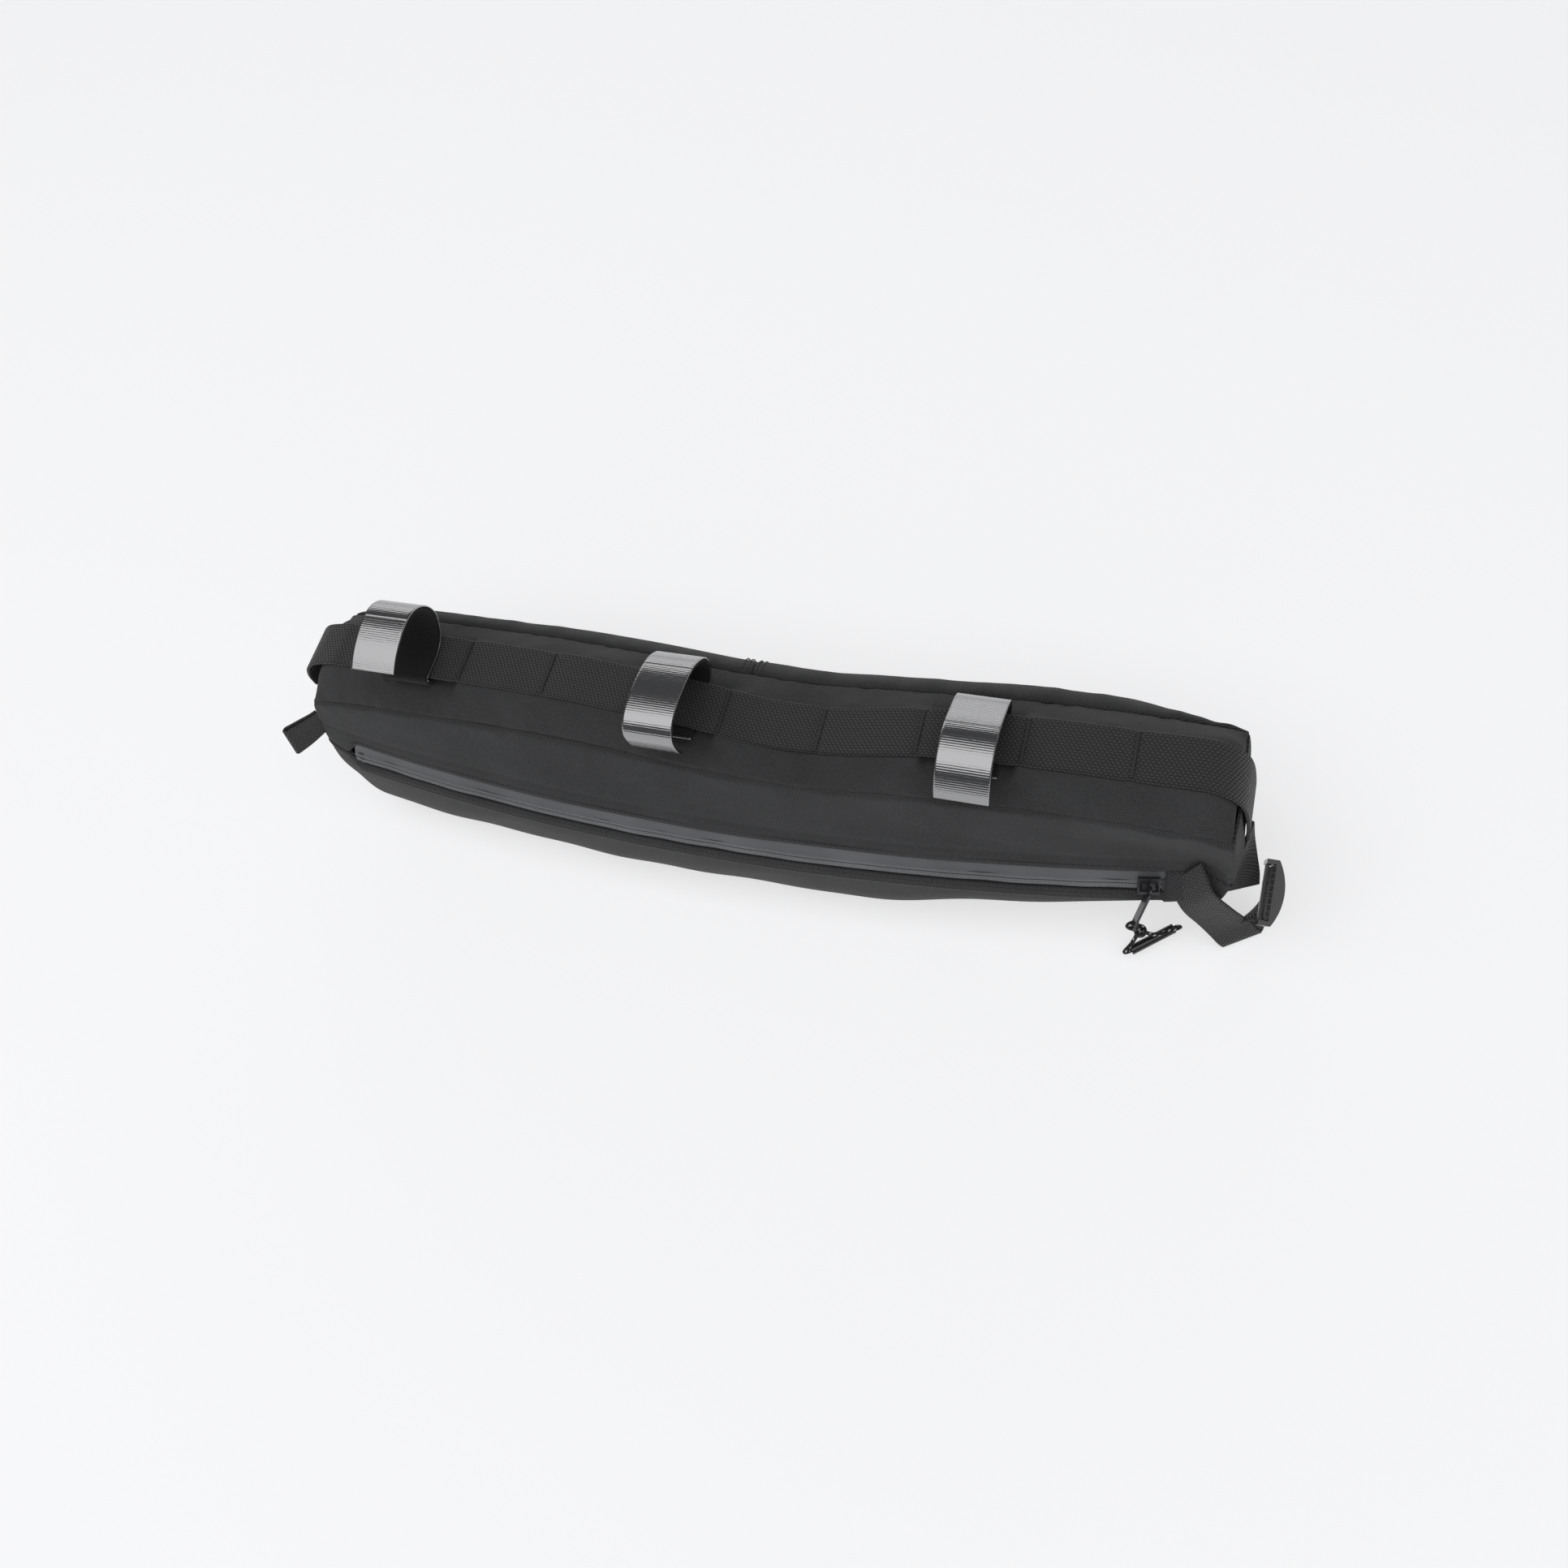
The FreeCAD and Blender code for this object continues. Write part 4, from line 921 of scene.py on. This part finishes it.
def share_of_top(points, y):
    """The share of the closed strap's length at which it crosses y on top of the tube."""
    line = smooth_line(points, 400)
    run = np.concatenate([[0], np.cumsum(np.linalg.norm(np.diff(line, axis=0), axis=1))])
    on_top = (np.arange(400) > 200) & (line[:, 1] >= 140)
    return run[np.argmin(np.where(on_top, np.abs(line[:, 0] - y), 99))] / run[-1]


def share_at(points, y):
    """The share of a profile's length at which its upper run crosses y."""
    line = smooth_line(points, 400)
    run = np.concatenate([[0], np.cumsum(np.linalg.norm(np.diff(line, axis=0), axis=1))])
    high = line[:, 1] > 125
    return float(run[np.argmin(np.where(high, np.abs(line[:, 0] - y), 999))] / run[-1])


# ---- zipper and puller ----------------------------------------------------------------------------------
def zip_point(across, out, x):
    """A point of the zipper's line at x, moved across the tapes and out from them."""
    norm = math.sqrt(1 + ZIP_LEAN**2)
    a = np.arcsin((x - ZIP_MID_X) / ZIP_RADIUS)
    r = ZIP_RADIUS + (out - ZIP_LEAN * across) / norm
    h = (across + ZIP_LEAN * out) / norm
    px, py, pz = ZIP_MID_X + r * np.sin(a), ZIP_MID_Y + ZIP_RADIUS - r * np.cos(a), ZIP_Z + h
    t = math.atan(ZIP_FALL)
    dx, dz = px - ZIP_Z_X, pz - ZIP_Z
    x = ZIP_Z_X + dx * math.cos(t) + dz * math.sin(t)
    z = ZIP_Z - dx * math.sin(t) + dz * math.cos(t)
    return np.stack([x, py, z], -1)


def zipper(mat):
    """Coated tapes over a hidden coil: the upper one wide, the lower one narrow above the panel's hem."""
    xs = np.linspace(-221.0, 213.5, 400)
    crest = [(0.16, -0.75), (0.4, -0.25), (1.1, 0.02), (1.9, 0.02), (2.7, -0.3)]
    rims = {
        "upper": crest + [(3.8, -0.62), (5.4, -0.85), (7.4, -1.3), (9.9, -1.56), (9.9, -2.3)],
        "lower": crest + [(3.3, -1.0), (3.55, -1.9), (4.4, -2.35), (7.5, -2.4), (7.5, -3.0)],
    }
    for name, side in (("upper", 1), ("lower", -1)):
        profile = rims[name] + [(0.8, -2.9), (0.16, -1.9)]
        sway = 0.22 * waves(xs, 0 * xs, 34.0, 61)
        grid = np.stack([zip_point(side * s + 0 * xs, o + sway, xs) for s, o in profile], 1)
        k = len(profile)
        faces = []
        for i in range(len(xs) - 1):
            for j in range(k):
                m = (j + 1) % k
                quad = [i * k + j, (i + 1) * k + j, (i + 1) * k + m, i * k + m]
                faces.append(quad if side > 0 else quad[::-1])
        faces += [list(range(k)), [(len(xs) - 1) * k + j for j in range(k)][::-1]]
        uv = np.stack(np.broadcast_arrays(xs[:, None], np.array([p[0] for p in profile])[None, :]), 2)
        obj = add_mesh("tape_" + name, grid.reshape(-1, 3), faces, uv.reshape(-1, 2), mat["tape"], "bag")
        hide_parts("zipper_tape_" + name)


def soften(node, width, material, segments=3):
    """Round the edges of a CAD piece by a width in millimetres and paint it."""
    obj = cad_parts[node]
    edge = obj.modifiers.new("edge", "BEVEL")
    edge.width = width * MM
    edge.segments = segments
    edge.limit_method = "ANGLE"
    edge.angle_limit = math.radians(35)
    paint(obj, material)


def paint(obj, material):
    obj.data.materials.clear()
    obj.data.materials.append(material)


def puller(mat):
    """The slider with its tab, and the cord loop that runs from the tab's eye through the puller's tube."""
    for node, width in (("slider_body", 0.35), ("slider_bridge", 0.3), ("pull_tab", 0.25)):
        soften(node, width, mat["metal"])
    soften("puller_bar", 0.35, mat["gloss"])
    bar_a, bar_b = np.array([202.0, -50.2, 5.4]), np.array([220.2, -35.8, 8.0])
    run = (bar_b - bar_a) / np.linalg.norm(bar_b - bar_a)
    knot, eye = np.array([205.0, -45.0, 20.6]), np.array([201.83, -45.112, 30.911])
    flat = np.array([0.96972, 0.09132, -0.2265])
    hang = np.array([-4.6, -8.2, -23.0]) / 24.85
    up, lean = np.array([0, 0, 1.0]), np.array([0, -2.4, 3.0])
    path = [bar_a + run * 3.0, bar_a + run * 0.5, bar_a - run * 1.6 + up * 0.3, bar_a - run * 3.6 + up * 3.4]
    path += [np.array([201.8, -49.4, 13.4]), knot + [-1.4, -0.4, -0.6], eye - flat * 2.3 + hang * 3.8]
    path += [eye - flat * 1.35 + hang * 0.3, eye + flat * 1.35 + hang * 0.3, eye + flat * 2.3 + hang * 3.8]
    path += [knot + [1.4, 0.4, -0.6], np.array([212.2, -43.0, 14.6]), bar_b + run * 2.8 + lean]
    path += [bar_b + run * 1.7 + lean * 0.1, bar_b - run * 0.5, bar_b - run * 3.0]
    tube("cord_loop", path, 1.0, mat["cord"], "puller", "puller_cord", 16, 260)
    cord_knot(mat, knot)


def cord_knot(mat, knot):
    """The cord's turns round both legs, drawn as a close coil."""
    turns, coil_r, rise = 2.6, 1.9, 5.2
    path = []
    for a in np.linspace(0, 2 * math.pi * turns, 60):
        climb = -rise / 2 + rise * a / (2 * math.pi * turns)
        path.append(knot + [coil_r * math.cos(a), coil_r * math.sin(a), climb])
    tube("cord_knot", path, 1.05, mat["cord"], "puller", "puller_knot", 12, 160)


# ---- loops ----------------------------------------------------------------------------------------------
def loops(mat):
    """The folded ribbon at the rear and the corner loop in front, each as pairs of its two edges."""
    rear = [
        ((-240.6, -27.4, 63.8), (-238.8, -25.8, 80.0)),
        ((-243.2, -30.0, 62.5), (-242.4, -28.6, 79.0)), ((-248.0, -35.0, 60.5), (-247.5, -32.2, 77.6)),
        ((-253.4, -40.4, 59.0), (-253.2, -36.2, 76.4)), ((-256.4, -43.2, 58.6), (-256.8, -38.6, 76.0)),
        ((-257.6, -42.8, 58.6), (-258.2, -38.0, 76.0)), ((-257.4, -41.2, 58.8), (-258.0, -36.4, 76.2)),
        ((-254.2, -38.2, 59.4), (-254.8, -33.8, 76.6)), ((-249.2, -33.4, 60.8), (-249.4, -30.2, 77.8)),
        ((-244.8, -29.2, 62.6), (-244.8, -27.6, 79.0)), ((-242.0, -26.6, 63.9), (-241.0, -24.8, 80.1)),
    ]
    between("rear_ribbon", rear, 110, 1.15, mat["webbing"], "rear_loop", "rear_loop_ribbon", 26)
    lower = [
        ((214.0, -29.0, 47.0), (226.5, -25.0, 69.0)), ((218.4, -33.0, 40.0), (230.0, -29.4, 63.0)),
        ((222.5, -35.8, 34.0), (233.8, -33.0, 56.0)), ((229.8, -36.9, 23.5), (243.6, -31.8, 37.0)),
        ((236.8, -38.2, 13.0), (252.8, -28.4, 17.0)), ((242.4, -39.2, 4.6), (259.4, -28.4, 5.0)),
        ((243.8, -38.4, 2.6), (260.8, -27.2, 2.8)), ((244.2, -36.4, 4.6), (261.2, -25.4, 5.0)),
        ((245.8, -31.8, 13.0), (262.6, -19.0, 16.0)), ((252.0, -30.8, 21.5), (261.4, -11.6, 26.8)),
    ]
    run, half = np.array([0, -0.34, 0.94]), np.array([0, 0.94, 0.34]) * WEB_WIDTH / 2
    place = np.array([257.8, -19.8, 32.0])
    for k in (0.0, 5.0, 10.0, 15.0, 20.0, 25.0):
        lower.append((tuple(place + run * k - half), tuple(place + run * k + half)))
    upper = [
        ((240.8, -24.5, 66.0), (245.6, -1.0, 69.5)), ((240.6, -24.6, 59.0), (247.2, -3.6, 61.0)),
        ((239.8, -24.4, 50.0), (250.2, -9.0, 52.0)), ((239.8, -23.6, 42.0), (253.0, -13.6, 43.5)),
        ((240.6, -22.6, 35.5), (254.2, -16.8, 37.0)),
    ]
    between("lower_webbing", lower, 190, 1.6, mat["webbing"], "bag", "lower_loop_strap")
    between("upper_webbing", upper, 70, 1.6, mat["webbing"], "bag", "upper_loop_strap")
    soften("tri_glide_buckle", 0.9, mat["gloss"], 4)


# ---- studio ---------------------------------------------------------------------------------------------
def area(name, place, target, size_x, size_y, power):
    light = bpy.data.lights.new(name, "AREA")
    light.shape, light.size, light.size_y = "RECTANGLE", size_x, size_y
    light.energy = power
    obj = bpy.data.objects.new(name, light)
    bpy.context.scene.collection.objects.link(obj)
    obj.location = place
    look = Vector(target) - Vector(place)
    obj.rotation_euler = look.to_track_quat("-Z", "Y").to_euler()
    return obj


def studio():
    """A pale floor, a large soft light overhead, a weak one from the near side and a low one behind."""
    scene = bpy.context.scene
    scene.view_settings.view_transform = "Standard"
    floor = bpy.data.meshes.new("floor")
    s = 30.0                        # metres
    floor.from_pydata([(-s, -s, 0), (s, -s, 0), (s, s, 0), (-s, s, 0)], [], [(0, 1, 2, 3)])
    shade = Shader("floor", (0.50, 0.505, 0.515), 0.9, Specular_IOR_Level=0.0)
    shade.bsdf.inputs["Emission Color"].default_value = (1.0, 1.0, 1.005, 1.0)
    shade.bsdf.inputs["Emission Strength"].default_value = 0.585
    floor.materials.append(shade.material)
    obj = bpy.data.objects.new("floor", floor)
    scene.collection.objects.link(obj)
    obj.location.z = -0.0003
    world = bpy.data.worlds.new("studio")
    world.use_nodes = True
    world.node_tree.nodes["Background"].inputs[0].default_value = (0.95, 0.97, 1.0, 1.0)
    world.node_tree.nodes["Background"].inputs[1].default_value = 0.12
    scene.world = world
    area("overhead", (-0.5, -1.2, 3.0), (-0.5, -1.2, 0.0), 6.0, 3.6, 92.0)
    fill = area("near_fill", (0.4, -3.0, 1.3), (0.0, 0.0, 0.05), 4.5, 1.6, 8.0)
    fill.visible_glossy = False
    area("back", (-0.8, 3.2, 0.9), (0.0, 0.0, 0.1), 5.0, 1.1, 26.0)


def camera():
    data = bpy.data.cameras.new("camera")
    data.sensor_width, data.lens = CAMERA_SENSOR, CAMERA_LENS
    data.clip_start = 0.01
    obj = bpy.data.objects.new("camera", data)
    bpy.context.scene.collection.objects.link(obj)
    right, down, ahead = Vector(CAMERA_RIGHT), Vector(CAMERA_DOWN), Vector(CAMERA_AHEAD)
    turn = Matrix((right, -down, -ahead)).transposed()
    obj.matrix_world = Matrix.Translation(Vector(CAMERA_PLACE)) @ turn.to_4x4()
    bpy.context.scene.camera = obj


def main():
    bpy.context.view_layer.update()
    mat = make_materials()
    near_side(mat)
    far_side(mat)
    gussets(mat)
    webbing(mat)
    straps(mat)
    zipper(mat)
    puller(mat)
    loops(mat)
    for node in ("base_stiffener", "near_seam_binding", "far_seam_binding"):
        paint(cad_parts[node], mat["foam"])
    for node in ("zipper_coil_upper", "zipper_coil_lower", "zipper_front_stop", "zipper_rear_stop"):
        paint(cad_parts[node], mat["coil"])
    studio()
    camera()


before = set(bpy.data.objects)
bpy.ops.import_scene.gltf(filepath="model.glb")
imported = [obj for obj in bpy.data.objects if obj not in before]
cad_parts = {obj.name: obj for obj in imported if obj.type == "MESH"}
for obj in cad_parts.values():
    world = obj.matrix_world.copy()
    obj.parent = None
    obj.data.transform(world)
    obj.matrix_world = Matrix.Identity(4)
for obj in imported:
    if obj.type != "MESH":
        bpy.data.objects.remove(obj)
main()
